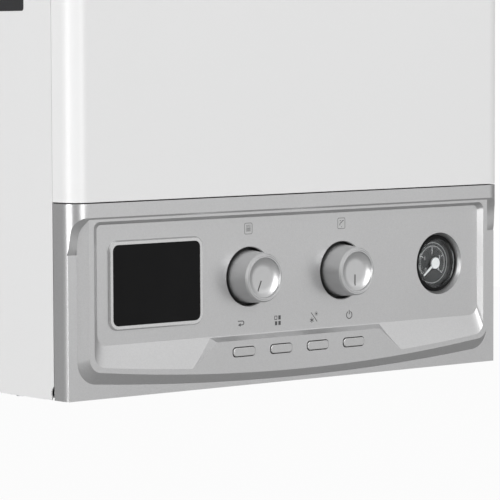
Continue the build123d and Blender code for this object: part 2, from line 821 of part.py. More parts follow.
def make_stub(x, radius, bore):
    # Threaded tail with its nut, open right through
    tail = rod((x, -pipe_depth, up(-stub_drop)), (0, 0, 1), radius - thread_step, stub_drop + stub_rise)
    tail += rod((x, -pipe_depth, up(-stub_drop)), (0, 0, 1), radius, thread_length)
    nut = extrude(Plane(origin=(x, -pipe_depth, up(nut_height))) * RegularPolygon(radius + 4, 6), nut_thickness)
    collar = rod((x, -pipe_depth, up(stub_rise - 5)), (0, 0, 1), radius + 3, 5)
    return tail + nut + collar - rod((x, -pipe_depth, up(-stub_drop - 1)), (0, 0, 1), bore, stub_drop + stub_rise + 2)


def make_block(side, top_ports):
    # Moulded manifold: a barrel across two connections, necks down to them and ports on top
    centre_z = up(barrel_height)
    x_in = side * (connection_pitch - barrel_radius - 2)
    x_out = side * (2 * connection_pitch + barrel_radius + 2)
    start = (min(x_in, x_out), -pipe_depth, centre_z)
    body = rod(start, (1, 0, 0), barrel_radius, abs(x_out - x_in))
    for i in (1, 2):
        x = side * connection_pitch * i
        body += rod((x, -pipe_depth, up(block_low)), (0, 0, 1), barrel_radius, barrel_height - block_low)
        body += rod((x, -pipe_depth, up(block_low)), (0, 0, 1), barrel_radius + 3, 4)
    for x, y, radius, high in top_ports:
        body += rod((side * x, y, centre_z), (0, 0, 1), radius, high - barrel_height)
    return body


def make_flow_block():
    body = make_block(-1, [(plate_port, plate_port_depth, 9, plate_low), (flow_port, -pipe_depth, 12, block_high + 5),
                           (diverter_place, -pipe_depth, 15, block_high)])
    x = -diverter_place
    body -= rod((x, -pipe_depth, up(block_low + 4)), (0, 0, 1), diverter_seat_radius + 0.5, diverter_chamber)
    body -= rod((x, -pipe_depth, up(block_low + 4)), (0, 0, 1), diverter_stem_radius + running_gap, 60)
    side = rod((-safety_place, -pipe_depth, up(barrel_height)), (0, -1, 0), 9, barrel_radius + 6)
    return body + side


def make_return_block():
    body = make_block(1, [(plate_port, plate_port_depth, 9, plate_low), (pump_x, pump_neck_depth, 16, block_high)])
    side = rod((filling_place, -pipe_depth, up(barrel_height)), (0, -1, 0), 9, barrel_radius + 6)
    return body + side


def make_diverter_stem():
    low = up(block_low + 4 + diverter_travel + 1)
    stem = rod((-diverter_place, -pipe_depth, low), (0, 0, 1), diverter_stem_radius, diverter_stem_length)
    seat = turned((-diverter_place, -pipe_depth, low), (0, 0, 1),
                  [(0, 0), (diverter_seat_radius - 2, 0), (diverter_seat_radius, 2), (diverter_seat_radius, 4),
                   (diverter_seat_radius - 3, 7), (0, 7)])
    return stem + seat


def make_diverter_motor():
    low = up(block_high)
    x = -diverter_place
    foot = rod((x, -pipe_depth, low), (0, 0, 1), 15, 5)
    body = extrude(Plane(origin=(x, -pipe_depth, low + 5)) * RectangleRounded(34, 40, 7), 34)
    plug = block(x - 8, x + 8, -pipe_depth - 27, -pipe_depth - 19, low + 14, low + 26)
    motor = foot + fillet(body.faces().sort_by(Axis.Z)[-1].edges(), 3) + plug
    return motor - rod((x, -pipe_depth, low - 1), (0, 0, 1), diverter_stem_radius + running_gap, 24)


def make_safety_valve():
    # Brass body on the flow block with its discharge pipe down through the casing
    y_near = -pipe_depth - barrel_radius - 6
    x = -safety_place
    body = rod((x, y_near, up(barrel_height)), (0, -1, 0), 12, 22)
    hex_part = extrude(Plane(origin=(x, y_near, up(barrel_height)), z_dir=(0, -1, 0)) * RegularPolygon(15, 6), 8)
    pipe = rod((x, safety_pipe_depth, up(barrel_height)), (0, 0, -1), 7, barrel_height + stub_drop)
    valve = body + hex_part + pipe
    valve -= rod((x, safety_pipe_depth, up(0)), (0, 0, -1), 5, stub_drop + 1)
    return valve - rod((x, y_near - 23, up(barrel_height)), (0, 1, 0), 2.5 + running_gap, 12)


def make_safety_cap():
    # Ribbed cap that is turned to lift the valve
    y_near = -pipe_depth - barrel_radius - 6 - 22
    outline = Circle(12)
    for i in range(10):
        outline -= Rot(0, 0, 36 * i) * Pos(13.2, 0) * Circle(2.4)
    plane = front_plane(-safety_place, y_near - 0.3, up(barrel_height))
    cap = extrude(plane * outline, 13)
    return cap + rod((-safety_place, y_near + 10, up(barrel_height)), (0, -1, 0), 2.5, 12)


def make_filling_tap():
    y_near = -pipe_depth - barrel_radius - 6
    body = rod((filling_place, y_near, up(barrel_height)), (0, -1, 0), 11, 20)
    tail = rod((filling_place, y_near - 10, up(barrel_height)), (0, 0, -1), 6, 26)
    tap = body + tail
    return tap - rod((filling_place, y_near - 21, up(barrel_height)), (0, 1, 0), 2.5 + running_gap, 12)


def make_filling_handle():
    y_near = -pipe_depth - barrel_radius - 6 - 20
    plane = front_plane(filling_place, y_near - 0.3, up(barrel_height))
    lever = extrude(plane * (Pos(17, 0) * SlotOverall(54, 13)), 5)
    hub = rod((filling_place, y_near - 0.3, up(barrel_height)), (0, -1, 0), 9, 9)
    return lever + hub + rod((filling_place, y_near + 10, up(barrel_height)), (0, -1, 0), 2.5, 12)


def make_plate_exchanger():
    # A stack of thin pressed plates between two end plates
    half = plate_width / 2
    y_back = -12.0
    y_near = y_back - plate_deep
    body = block(-half + 2, half - 2, y_near + 2, y_back - 2, up(plate_low), up(plate_low + plate_tall))
    pitch = plate_tall / plate_count
    for i in range(plate_count):
        z = up(plate_low + pitch * (i + 0.5))
        body += extrude(Plane(origin=(0, (y_near + y_back) / 2, z - 0.8)) * RectangleRounded(plate_width, plate_deep, 12),
                        1.6)
    return body


def make_pump_body():
    # Volute with a foot on the return block and an outlet on top
    y_near = pump_y - pump_depth / 2
    z = up(pump_height)
    body = rod((pump_x, y_near, z), (0, 1, 0), pump_radius, pump_depth)
    foot_low = up(block_high)
    body += rod((pump_x, pump_neck_depth, foot_low), (0, 0, 1), 13, pump_height - block_high)
    body += rod((pump_x, pump_neck_depth, foot_low), (0, 0, 1), 18, 5)
    body += rod((pump_x, pump_y, z), (0, 0, 1), 13, pump_radius + 22)
    body += rod((pump_x - 24, pump_y, z), (0, 0, 1), 6, pump_radius)
    body -= rod((pump_x, y_near - 1, z), (0, 1, 0), rotor_radius + 1, rotor_depth + 6)
    return body - rod((pump_x, y_near, z), (0, 1, 0), 4 + running_gap, rotor_depth + 12)


def make_pump_rotor():
    y_near = pump_y - pump_depth / 2
    z = up(pump_height)
    disc = rod((pump_x, y_near + 2, z), (0, 1, 0), rotor_radius, 3)
    cap = tube((pump_x, y_near + rotor_depth - 1, z), (0, 1, 0), rotor_radius, 10, 2)
    rotor = disc + cap
    for i in range(6):
        vane = block(8, rotor_radius - 1, -1, 1, 0, rotor_depth - 3)
        vane = Rot(0, 0, 60 * i) * vane
        rotor += Plane(origin=(pump_x, y_near + 2, z), z_dir=(0, 1, 0)) * vane
    return rotor + rod((pump_x, y_near - 40, z), (0, 1, 0), 4, 40 + rotor_depth + 10)


def make_pump_motor():
    y_face = pump_y - pump_depth / 2
    z = up(pump_height)
    profile = [(0, 0), (pump_motor_radius - 6, 0), (pump_motor_radius - 6, 6), (pump_motor_radius, 8),
               (pump_motor_radius, pump_motor_length - 8), (pump_motor_radius - 8, pump_motor_length),
               (0, pump_motor_length)]
    motor = turned((pump_x, y_face, z), (0, -1, 0), profile)
    box = block(pump_x - 28, pump_x + 28, y_face - 50, y_face - 12, z + pump_motor_radius - 8,
                z + pump_motor_radius + 3)
    for i in range(8):
        rib = block(pump_motor_radius - 1, pump_motor_radius + 3, -1.2, 1.2, 14, pump_motor_length - 14)
        motor += Plane(origin=(pump_x, y_face, z), z_dir=(0, -1, 0)) * (Rot(0, 0, 135 + 30 * i) * rib)
    motor += box
    return motor - rod((pump_x, y_face + 1, z), (0, -1, 0), 4 + running_gap, 44)


def make_air_vent():
    low = pump_height + pump_radius
    profile = [(0, 0), (9, 0), (11, 3), (11, 28), (8, 32), (3, 32), (3, 36), (0, 36)]
    return turned((pump_x - 24, pump_y, up(low)), (0, 0, 1), profile)


def make_vessel():
    # Flat round vessel: two pressed halves on a rolled seam
    r = vessel_radius
    d = vessel_depth
    profile = [(0, 0), (r - 22, 0), (r - 8, 5), (r - 2, d / 2 - 4), (r, d / 2 - 2), (r, d / 2 + 2),
               (r - 2, d / 2 + 4), (r - 8, d - 5), (r - 22, d), (0, d)]
    vessel = turned((0, -frame_sheet - 0.3, up(vessel_height)), (0, -1, 0), profile)
    drop = (r ** 2 - hose_place ** 2) ** 0.5
    neck = rod((hose_place, hose_depth, up(vessel_height - drop + 20)), (0, 0, -1), 6, 26)
    return vessel + neck


def make_vessel_hose():
    drop = (vessel_radius ** 2 - hose_place ** 2) ** 0.5
    points = [(hose_place, hose_depth, up(vessel_height - drop - 6)), (hose_place, hose_depth, up(barrel_height)),
              (hose_place, -pipe_depth + barrel_radius + 0.3, up(barrel_height))]
    return bent_pipe(points, 5, pipe_bend)


def make_exchanger_shell():
    # Horizontal drum, open at the front, with a front flange, flue collar and water ports
    r = exchanger_radius
    z = up(exchanger_height)
    y_near = -exchanger_back - exchanger_length
    x = exchanger_place
    shell = rod((x, -exchanger_back, z), (0, -1, 0), r, exchanger_length)
    shell += rod((x, y_near, z), (0, 1, 0), r + 5, 5)
    shell += rod((0, -flue_depth, z), (0, 0, 1), flue_radius + 4, r + 10)
    for px, py in exchanger_ports:
        shell += rod((px, py, z), (0, 0, -1), 9, r)
    shell += rod((x, drain_depth, z), (0, 0, -1), 8, r + 8)
    shell -= rod((x, y_near - 1, z), (0, 1, 0), r - exchanger_wall, exchanger_length - 6)
    shell -= rod((0, -flue_depth, z), (0, 0, 1), flue_radius - 2, r + 20)
    return shell - rod((0, -flue_depth, z + r - 8), (0, 0, 1), flue_radius + 0.3, 30)


def make_exchanger_coil():
    # Flattened tube rings on two tie bars behind the burner
    z = up(exchanger_height)
    y_back = -exchanger_back - 7
    coil = rod((exchanger_place, y_back, z + coil_mean), (0, -1, 0), 3, 110)
    coil += rod((exchanger_place, y_back, z - coil_mean), (0, -1, 0), 3, 110)
    for i in range(coil_turns):
        ring = Pos(coil_mean, 14 + 22 * i) * RectangleRounded(20, 15, 5)
        ring = revolve(Plane.XZ * ring, Axis.Z)
        coil += Plane(origin=(exchanger_place, y_back, z), z_dir=(0, -1, 0)) * ring
    return coil


def make_burner():
    y_door = -exchanger_back - exchanger_length
    z = up(exchanger_height)
    tube_part = rod((exchanger_place, y_door, z), (0, 1, 0), burner_radius, 96)
    tube_part -= rod((exchanger_place, y_door - 1, z), (0, 1, 0), burner_radius - 1.2, 96)
    return tube_part


def make_burner_door():
    y_door = -exchanger_back - exchanger_length
    z = up(exchanger_height)
    r = exchanger_radius
    profile = [(duct_radius - 3, 0), (r + 3, 0), (r + 3, 4), (r - 18, 5), (r - 24, door_thickness),
               (duct_radius - 3, door_thickness)]
    door = turned((exchanger_place, y_door, z), (0, -1, 0), profile)
    for i in range(4):
        rib = block(duct_radius + 4, r - 20, -2, 2, 1, door_thickness + 3)
        door += Plane(origin=(exchanger_place, y_door, z), z_dir=(0, -1, 0)) * (Rot(0, 0, 45 + 90 * i) * rib)
    for dx, dz in electrode_places:
        door -= rod((exchanger_place + dx, y_door - 30, z + dz), (0, 1, 0), 5.3, 40)
    return door


def make_electrodes():
    y_door = -exchanger_back - exchanger_length
    parts = []
    for dx, dz in electrode_places:
        x = exchanger_place + dx
        z = up(exchanger_height) + dz
        body = rod((x, y_door - door_thickness - 16, z), (0, 1, 0), 5, door_thickness + 26)
        parts.append(body + rod((x, y_door + 9, z), (0, 1, 0), 1.2, 34))
    return parts


def make_door_nuts():
    parts = []
    y_door = -exchanger_back - exchanger_length
    for i in range(6):
        place = Vector(exchanger_radius - 8, 0, 0).rotate(Axis.Y, 60 * i + 30)
        origin = (exchanger_place + place.X, y_door - 5.0, up(exchanger_height) + place.Z)
        parts.append(extrude(Plane(origin=origin, z_dir=(0, -1, 0)) * RegularPolygon(6, 6), 6))
    return parts


def make_exchanger_bracket():
    low = up(vessel_height + vessel_radius + 14)
    high = low + 120
    x = exchanger_place
    parts = block(x - 72, x - 70, -exchanger_back, -frame_sheet, low, high)
    parts += block(x + 70, x + 72, -exchanger_back, -frame_sheet, low, high)
    return parts + block(x - 72, x + 72, -exchanger_back, -exchanger_back + 2, low, high)


def spiral(shrink):
    # Outline of the fan scroll with its outlet to the left, drawn about the fan's axis
    radii = [fan_radius - shrink - 4 * i for i in range(4)]
    corners = [(0, radii[0]), (radii[1], 0), (0, -radii[2]), (-radii[3], 0)]
    lines = []
    for i in range(3):
        middle = (radii[i] + radii[i + 1]) / 2
        angle = 45 - 90 * i
        mid = (Vector(middle, 0).rotate(Axis.Z, angle).X, Vector(middle, 0).rotate(Axis.Z, angle).Y)
        lines.append(ThreePointArc(corners[i], mid, corners[i + 1]))
    low = fan_radius - 2 * duct_radius + shrink
    end = -(fan_radius + 5)
    lines.append(Polyline(corners[3], (-radii[3], low), (end, low), (end, radii[0]), corners[0]))
    return make_face(Curve() + lines)


def make_fan_housing():
    plane = front_plane(fan_place, fan_y_back, up(fan_z))
    body = extrude(plane * spiral(0), fan_depth)
    body -= extrude(plane.offset(fan_wall + 1) * spiral(fan_wall), fan_depth - 2 * fan_wall - 2)
    end = block(-fan_radius - 8, -fan_radius - 3, -duct_radius + fan_wall, duct_radius - fan_wall, fan_wall + 1,
                fan_depth - fan_wall - 1)
    body -= plane * (Pos(0, fan_radius - duct_radius, 0) * end)
    body -= rod((fan_place, fan_y_back + 1, up(fan_z)), (0, -1, 0), venturi_radius - 5, fan_wall + 4)
    return body - rod((fan_place, fan_y_back, up(fan_z)), (0, -1, 0), 3.6, fan_depth + 5)


def make_fan_impeller():
    # Backward-curved blades between two discs, on the motor's shaft
    plane = front_plane(fan_place, fan_y_back - fan_wall - 4, up(fan_z))
    r = impeller_radius
    wheel = extrude(Circle(r), 1.5)
    front = Pos(0, 0, 22) * extrude(Circle(r) - Circle(r * 0.5), 1.5)
    root, middle, tip = [Vector(r * part, 0).rotate(Axis.Z, turn) for part, turn in ((0.5, 0), (0.75, 22), (0.96, 36))]
    inner = ThreePointArc(root, middle, tip)
    outer = inner.rotate(Axis.Z, 3)
    ends = Line(tip, outer @ 1) + Line(root, outer @ 0)
    blade = extrude(make_face(Curve() + [inner, outer, ends]), 23)
    wheel += front
    for i in range(blade_count):
        wheel += Rot(0, 0, 360 / blade_count * i) * blade
    wheel += extrude(Circle(8), 12)
    shaft = extrude(Circle(3), fan_depth - fan_wall - 4 + 16)
    return plane * (wheel + shaft)


def make_fan_motor():
    y_face = fan_y_back - fan_depth
    profile = [(0, 0), (30, 0), (30, 4), (26, 6), (26, 18), (22, 22), (0, 22)]
    motor = turned((fan_place, y_face, up(fan_z)), (0, -1, 0), profile)
    motor += block(fan_place - 9, fan_place + 9, y_face - 16, y_face - 4, up(fan_z) - 34, up(fan_z) - 22)
    return motor - rod((fan_place, y_face + 1, up(fan_z)), (0, -1, 0), 3 + running_gap, 18.5)


def make_mixture_duct():
    y_door = -exchanger_back - exchanger_length - door_thickness
    y_mid = fan_y_back - fan_depth / 2
    z = up(exchanger_height)
    points = [(fan_place - fan_radius - 5, y_mid, z), (exchanger_place, y_mid, z), (exchanger_place, y_door, z)]
    duct = bent_pipe(points, duct_radius, duct_bend)
    flange = block(points[0][0] - 4, points[0][0], y_mid - 21, y_mid + 21, z - 24, z + 24)
    return duct + flange


def make_venturi():
    # Waisted throat behind the fan with the gas inlet underneath
    profile = [(0, 0), (venturi_radius + 4, 0), (venturi_radius + 4, 4), (venturi_radius - 3, 10),
               (venturi_radius - 3, 30), (venturi_radius, 42), (0, 42)]
    body = turned((fan_place, fan_y_back, up(fan_z)), (0, 1, 0), profile)
    neck = rod((fan_place, gas_neck_depth, up(gas_valve_high)), (0, 0, 1), 9, fan_z - gas_valve_high)
    body += neck
    profile = [(0, -1), (venturi_radius - 5, -1), (venturi_radius - 8, 14), (venturi_radius - 8, 26),
               (venturi_radius - 4, 43), (0, 43)]
    return body - turned((fan_place, fan_y_back, up(fan_z)), (0, 1, 0), profile)


def make_air_silencer():
    y_near = fan_y_back + 42
    points = [(fan_place, y_near, up(fan_z)), (fan_place, y_near + 40, up(fan_z)),
              (fan_place, y_near + 40, up(fan_z + 130))]
    return bent_pipe(points, venturi_radius - 3, venturi_radius + 4)


def make_gas_valve():
    low = up(gas_valve_low)
    high = up(gas_valve_high)
    x = fan_place
    y = gas_neck_depth
    body = block(x - 30, x + 30, y - 24, y + 24, low, high)
    body = fillet(body.edges().filter_by(Axis.Z), 5)
    coil_a = rod((x - 12, y - 24, low + 52), (0, -1, 0), 13, 24)
    coil_b = rod((x + 16, y - 24, low + 52), (0, -1, 0), 11, 18)
    screw = rod((x, y - 24, low + 20), (0, -1, 0), 6, 8)
    return body + coil_a + coil_b + screw


def make_gas_pipe():
    points = [(0, -pipe_depth, up(stub_rise)), (0, -pipe_depth, up(gas_turn)), (fan_place, -pipe_depth, up(gas_turn)),
              (fan_place, gas_neck_depth, up(gas_turn)), (fan_place, gas_neck_depth, up(gas_valve_low))]
    return bent_pipe(points, gas_pipe_radius, pipe_bend)


def make_flow_pipe():
    x, y = exchanger_ports[0]
    points = [(-flow_port, -pipe_depth, up(block_high + 5)), (-flow_port, -pipe_depth, up(block_high + 75)),
              (x, y, up(block_high + 130)), (x, y, up(exchanger_height - exchanger_radius))]
    return bent_pipe(points, pipe_radius, pipe_bend)


def make_return_pipe():
    x, y = exchanger_ports[1]
    turn = pump_height + pump_radius + 22 + 30
    points = [(pump_x, pump_y, up(pump_height + pump_radius + 22)), (pump_x, pump_y, up(turn)),
              (x, y, up(turn)), (x, y, up(exchanger_height - exchanger_radius))]
    return bent_pipe(points, pipe_radius, pipe_bend)


def make_condensate_trap():
    # Bottle trap whose outlet runs down through the bottom plate
    profile = [(0, 0), (trap_radius - 5, 0), (trap_radius, 6), (trap_radius, trap_high - trap_low - 14),
               (trap_radius + 2, trap_high - trap_low - 14), (trap_radius + 2, trap_high - trap_low), (0, trap_high - trap_low)]
    body = turned((condensate_place, -condensate_depth, up(trap_low)), (0, 0, 1), profile)
    outlet = rod((condensate_place, -condensate_depth, up(-stub_drop)), (0, 0, 1), condensate_radius - thread_step,
                 stub_drop + trap_low)
    outlet += rod((condensate_place, -condensate_depth, up(-stub_drop)), (0, 0, 1), condensate_radius, thread_length)
    collar = rod((condensate_place, -condensate_depth, up(sheet + frame_sheet)), (0, 0, 1), condensate_radius + 4, 4)
    bore = rod((condensate_place, -condensate_depth, up(-stub_drop - 1)), (0, 0, 1), condensate_radius - 2, 60)
    return body + outlet + collar - bore


def make_condensate_hose():
    points = [(exchanger_place, drain_depth, up(exchanger_height - exchanger_radius - 8)),
              (exchanger_place, drain_depth, up(hose_turn)), (condensate_place, -condensate_depth, up(hose_turn)),
              (condensate_place, -condensate_depth, up(trap_high))]
    return bent_pipe(points, 7, 16)


def make_cable_gland():
    # Clamping gland for the mains cable, through the bottom plate
    x = gland_place
    low = up(sheet)
    body = rod((x, -gland_depth, low - 6), (0, 0, 1), gland_radius, 18)
    body += extrude(Plane(origin=(x, -gland_depth, low - 8)) * RegularPolygon(gland_radius + 4, 6), 8)
    body += turned((x, -gland_depth, low - 8), (0, 0, -1),
                   [(0, 0), (gland_radius + 2, 0), (gland_radius + 2, 6), (gland_radius - 2, 12), (0, 12)])
    body += extrude(Plane(origin=(x, -gland_depth, low + frame_sheet)) * RegularPolygon(gland_radius + 4, 6), 4)
    return body - rod((x, -gland_depth, low - 25), (0, 0, 1), cable_bore, 50)


def make_flue_duct():
    low = up(exchanger_height + exchanger_radius - 8)
    return tube((0, -flue_depth, low), (0, 0, 1), flue_radius, flue_radius - flue_wall, z_top - 0.5 - low)


def make_flue_seal():
    seal = tube((0, -flue_depth, z_top), (0, 0, 1), adapter_flange - 3, air_radius + 4, seal_thickness)
    for i in range(4):
        place = Vector(adapter_flange - 7, 0).rotate(Axis.Z, 90 * i + 45)
        seal -= rod((place.X, place.Y - flue_depth, z_top - 1), (0, 0, 1), 2.2, seal_thickness + 2)
    return seal


def make_flue_adapter():
    # Concentric socket: exhaust in the middle, air round it, held to the top panel by four screws
    low = z_top + seal_thickness
    base = tube((0, -flue_depth, low), (0, 0, 1), adapter_flange, air_radius - 5, 3)
    outer = tube((0, -flue_depth, low), (0, 0, 1), air_radius, air_radius - flue_wall, adapter_height)
    inner = rod((0, -flue_depth, z_top - 24), (0, 0, 1), flue_radius + 2, adapter_height + 26)
    adapter = base + outer + inner
    for i in range(3):
        spoke = Rot(0, 0, 120 * i + 30) * block(flue_radius, air_radius - 1, -2, 2, 0, 3)
        adapter += Pos(0, -flue_depth, low) * spoke
    adapter -= rod((0, -flue_depth, z_top - 30), (0, 0, 1), flue_radius - flue_wall, adapter_height + 60)
    adapter -= rod((0, -flue_depth, low + 3), (0, 0, 1), socket_radius, adapter_height)
    adapter -= rod((0, -flue_depth, z_top - 25), (0, 0, 1), socket_radius, 25)
    for i in range(4):
        place = Vector(adapter_flange - 7, 0).rotate(Axis.Z, 90 * i + 45)
        adapter -= rod((place.X, place.Y - flue_depth, low - 1), (0, 0, 1), 2.2, 6)
    return adapter


def make_adapter_screws():
    parts = []
    top = z_top + seal_thickness + 3
    for i in range(4):
        place = Vector(adapter_flange - 7, 0).rotate(Axis.Z, 90 * i + 45)
        head = rod((place.X, place.Y - flue_depth, top), (0, 0, 1), 4, 2.4)
        parts.append(head + rod((place.X, place.Y - flue_depth, top), (0, 0, -1), 2, 3 + seal_thickness - 0.2))
    return parts


def make_bottom_screws():
    # Flat-headed screws through the feet of the side panels
    parts = []
    for x in (-bottom_screw_place, bottom_screw_place):
        for y in (-60.0, -225.0):
            parts.append(rod((x, y, z_bottom), (0, 0, -1), 4.5, 2))
    return parts


def make_stubs():
    # Heating flow, hot water, gas, cold water and heating return, from left to right
    wide = (wide_thread_radius, wide_bore)
    narrow = (narrow_thread_radius, narrow_bore)
    gas = (wide_thread_radius, gas_pipe_radius - 1)
    sizes = (wide, narrow, gas, narrow, wide)
    return Compound([make_stub(connection_pitch * (i - 2), *sizes[i]) for i in range(len(sizes))])


def write_part(name, shape):
    shape.label = name
    export_step(shape, "parts/" + name + ".step")


single_parts = {
    "front_cover": make_front_cover,
    "cover_studs": make_cover_studs,
    "cover_clips": make_cover_clips,
    "back_frame": make_back_frame,
    "top_panel": make_top_panel,
    "bottom_plate": make_bottom_plate,
    "front_rail": make_front_rail,
    "control_fascia": make_control_fascia,
    "display_bezel": make_display_bezel,
    "display_window": make_display_window,
    "control_board": make_control_board,
    "gauge_body": make_gauge_body,
    "gauge_dial": make_gauge_dial,
    "gauge_glass": make_gauge_glass,
    "gauge_needle": make_gauge_needle,
    "panel_housing": make_panel_housing,
    "housing_lid": make_housing_lid,
    "main_board": make_main_board,
    "hinge_brackets": make_hinge_brackets,
    "flow_block": make_flow_block,
    "return_block": make_return_block,
    "diverter_stem": make_diverter_stem,
    "diverter_motor": make_diverter_motor,
    "safety_valve": make_safety_valve,
    "safety_cap": make_safety_cap,
    "filling_tap": make_filling_tap,
    "filling_handle": make_filling_handle,
    "plate_heat_exchanger": make_plate_exchanger,
    "pump_rotor": make_pump_rotor,
    "pump_motor": make_pump_motor,
    "expansion_vessel": make_vessel,
    "exchanger_shell": make_exchanger_shell,
    "exchanger_coil": make_exchanger_coil,
    "burner_door": make_burner_door,
    "fan_housing": make_fan_housing,
    "fan_impeller": make_fan_impeller,
    "fan_motor": make_fan_motor,
    "mixture_duct": make_mixture_duct,
    "gas_valve": make_gas_valve,
    "condensate_trap": make_condensate_trap,
    "flue_duct": make_flue_duct,
    "flue_adapter": make_flue_adapter,
    "connection_stubs": make_stubs,
    "cable_gland": make_cable_gland,
}


def main():
    os.makedirs("parts", exist_ok=True)
    for name, make in single_parts.items():
        write_part(name, make())
    side = make_side_panel()
    write_part("right_side_panel", side)
    write_part("left_side_panel", mirrored(side))
    for name, x in zip(("heating_knob", "water_knob"), knob_places):
        write_part(name, make_knob(x))
    for name, x in zip(("back_button", "menu_button", "season_button", "power_button"), button_places):
        write_part(name, make_button(x))
    write_part("pump_body", Compound([make_pump_body(), make_air_vent()]))
    write_part("burner", Compound([make_burner()] + make_electrodes()))
    write_part("air_intake", Compound([make_venturi(), make_air_silencer()]))
    write_part("copper_pipes", Compound([make_flow_pipe(), make_return_pipe(), make_gas_pipe()]))
    write_part("flexible_hoses", Compound([make_vessel_hose(), make_condensate_hose()]))
    write_part("casing_seals", Compound([make_cover_seal(), make_flue_seal()]))
    write_part("screws", Compound(make_door_nuts() + make_adapter_screws() + make_bottom_screws()))


main()
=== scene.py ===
import json
import math

import bmesh
import bpy
from mathutils import Matrix, Vector
from mathutils.bvhtree import BVHTree


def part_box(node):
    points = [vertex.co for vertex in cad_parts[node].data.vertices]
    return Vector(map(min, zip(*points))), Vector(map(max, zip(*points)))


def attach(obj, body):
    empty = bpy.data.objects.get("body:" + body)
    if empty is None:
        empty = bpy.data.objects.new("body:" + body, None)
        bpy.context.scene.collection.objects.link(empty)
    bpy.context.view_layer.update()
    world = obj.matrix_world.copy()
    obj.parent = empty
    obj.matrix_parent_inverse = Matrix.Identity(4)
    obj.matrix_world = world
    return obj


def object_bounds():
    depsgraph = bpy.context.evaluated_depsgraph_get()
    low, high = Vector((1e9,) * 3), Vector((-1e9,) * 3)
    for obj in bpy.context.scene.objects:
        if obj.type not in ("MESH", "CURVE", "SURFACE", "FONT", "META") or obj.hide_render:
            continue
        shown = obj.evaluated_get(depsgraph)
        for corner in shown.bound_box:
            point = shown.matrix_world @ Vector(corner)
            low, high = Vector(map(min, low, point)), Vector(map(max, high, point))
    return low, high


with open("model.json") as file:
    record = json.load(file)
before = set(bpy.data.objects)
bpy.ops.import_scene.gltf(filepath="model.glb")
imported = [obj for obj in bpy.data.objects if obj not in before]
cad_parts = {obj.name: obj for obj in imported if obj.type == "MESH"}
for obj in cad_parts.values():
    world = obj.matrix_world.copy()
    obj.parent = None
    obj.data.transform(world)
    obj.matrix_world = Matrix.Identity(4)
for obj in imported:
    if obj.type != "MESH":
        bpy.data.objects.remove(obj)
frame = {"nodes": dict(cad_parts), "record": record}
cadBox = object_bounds()
nodes = frame["nodes"]
scene = bpy.context.scene
print("boiler frame loaded")

# Camera, from the photograph's vanishing lines

viewpoint = {
    "location": (-1.43496, -1.94845, -0.39629),
    "forward": (0.6427874, 0.7629646, -0.0686249),
    "roll": -0.25,          # degrees
    "lens": 222.96,
    "sensor": 36.0,
    "clipEnd": 50,
}


def makeCamera():
    camera = bpy.data.objects.new("photoCamera", bpy.data.cameras.new("photoCamera"))
    scene.collection.objects.link(camera)
    forward = Vector(viewpoint["forward"]).normalized()
    right = forward.cross(Vector((0, 0, 1))).normalized()
    up = right.cross(forward)
    roll = math.radians(viewpoint["roll"])
    leanRight = right * math.cos(roll) + up * math.sin(roll)
    leanUp = leanRight.cross(forward)
    turn = Matrix((leanRight, leanUp, -forward)).transposed().to_4x4()
    camera.matrix_world = Matrix.Translation(viewpoint["location"]) @ turn
    camera.data.lens = viewpoint["lens"]
    camera.data.sensor_width = viewpoint["sensor"]
    camera.data.clip_end = viewpoint["clipEnd"]
    scene.camera = camera


makeCamera()
print("camera placed")

# Small helpers for node trees


def feed(tree, socket, value):
    # A socket takes another node's output or a fixed value
    if isinstance(value, bpy.types.NodeSocket):
        tree.links.new(value, socket)
    elif value is not None:
        socket.default_value = value


def mathNode(tree, operation, first, second=None):
    node = tree.nodes.new("ShaderNodeMath")
    node.operation = operation
    for socket, value in zip(node.inputs, (first, second)):
        feed(tree, socket, value)
    return node.outputs[0]


def vectorNode(tree, operation, first, second=None):
    node = tree.nodes.new("ShaderNodeVectorMath")
    node.operation = operation
    for socket, value in zip(node.inputs, (first, second)):
        feed(tree, socket, value)
    return node.outputs["Value" if operation in ("LENGTH", "DOT_PRODUCT") else "Vector"]


def remap(tree, value, source, target):
    node = tree.nodes.new("ShaderNodeMapRange")
    labels = ("From Min", "From Max", "To Min", "To Max")
    for label, limit in zip(labels, (*source, *target)):
        node.inputs[label].default_value = limit
    tree.links.new(value, node.inputs["Value"])
    return node.outputs["Result"]


def splitPlace(tree, place):
    node = tree.nodes.new("ShaderNodeSeparateXYZ")
    tree.links.new(place, node.inputs["Vector"])
    return node.outputs


def objectPlace(tree):
    return tree.nodes.new("ShaderNodeTexCoord").outputs["Object"]


def addTexture(tree, kind, scale, place):
    node = tree.nodes.new(kind)
    tree.links.new(place, node.inputs["Vector"])
    tree.links.new(scale, node.inputs["Scale"])
    return node


def axisDistance(tree, place, centre):
    # Distance from the line that runs from front to back through the centre
    offset = vectorNode(tree, "SUBTRACT", place, centre)
    return vectorNode(tree, "LENGTH", vectorNode(tree, "MULTIPLY", offset, (1, 0, 1)))


# Shared effects, each one a node group

noiseMiddle = (0.3, 0.7)    # the values that nearly all of a noise lies between


def newGroup(name, inputs, output):
    group = bpy.data.node_groups.new(name, "ShaderNodeTree")
    for label, kind, value in inputs:
        socket = group.interface.new_socket(name=label, in_out="INPUT", socket_type=kind)
        socket.default_value = value
    group.interface.new_socket(name=output, in_out="OUTPUT", socket_type="NodeSocketFloat")
    entry = group.nodes.new("NodeGroupInput").outputs
    leave = group.nodes.new("NodeGroupOutput").inputs
    return group, entry, leave


# Edge tint: edges go lighter, partly worn paint and partly painted highlight where rounded edges catch the
# light
edgeWearAndHighlightLook = {
    "samples": 4,
    "facing": (0.995, 0.86),    # rounded normal against the true one, from no edge tint to the full edge tint
    "edgeBreakupDetail": 4,
    "edgeBreakup": (0.35, 0.65),      # noise values between which the lighter edge line fades out
    "leastEdgeShare": 0.25,
}


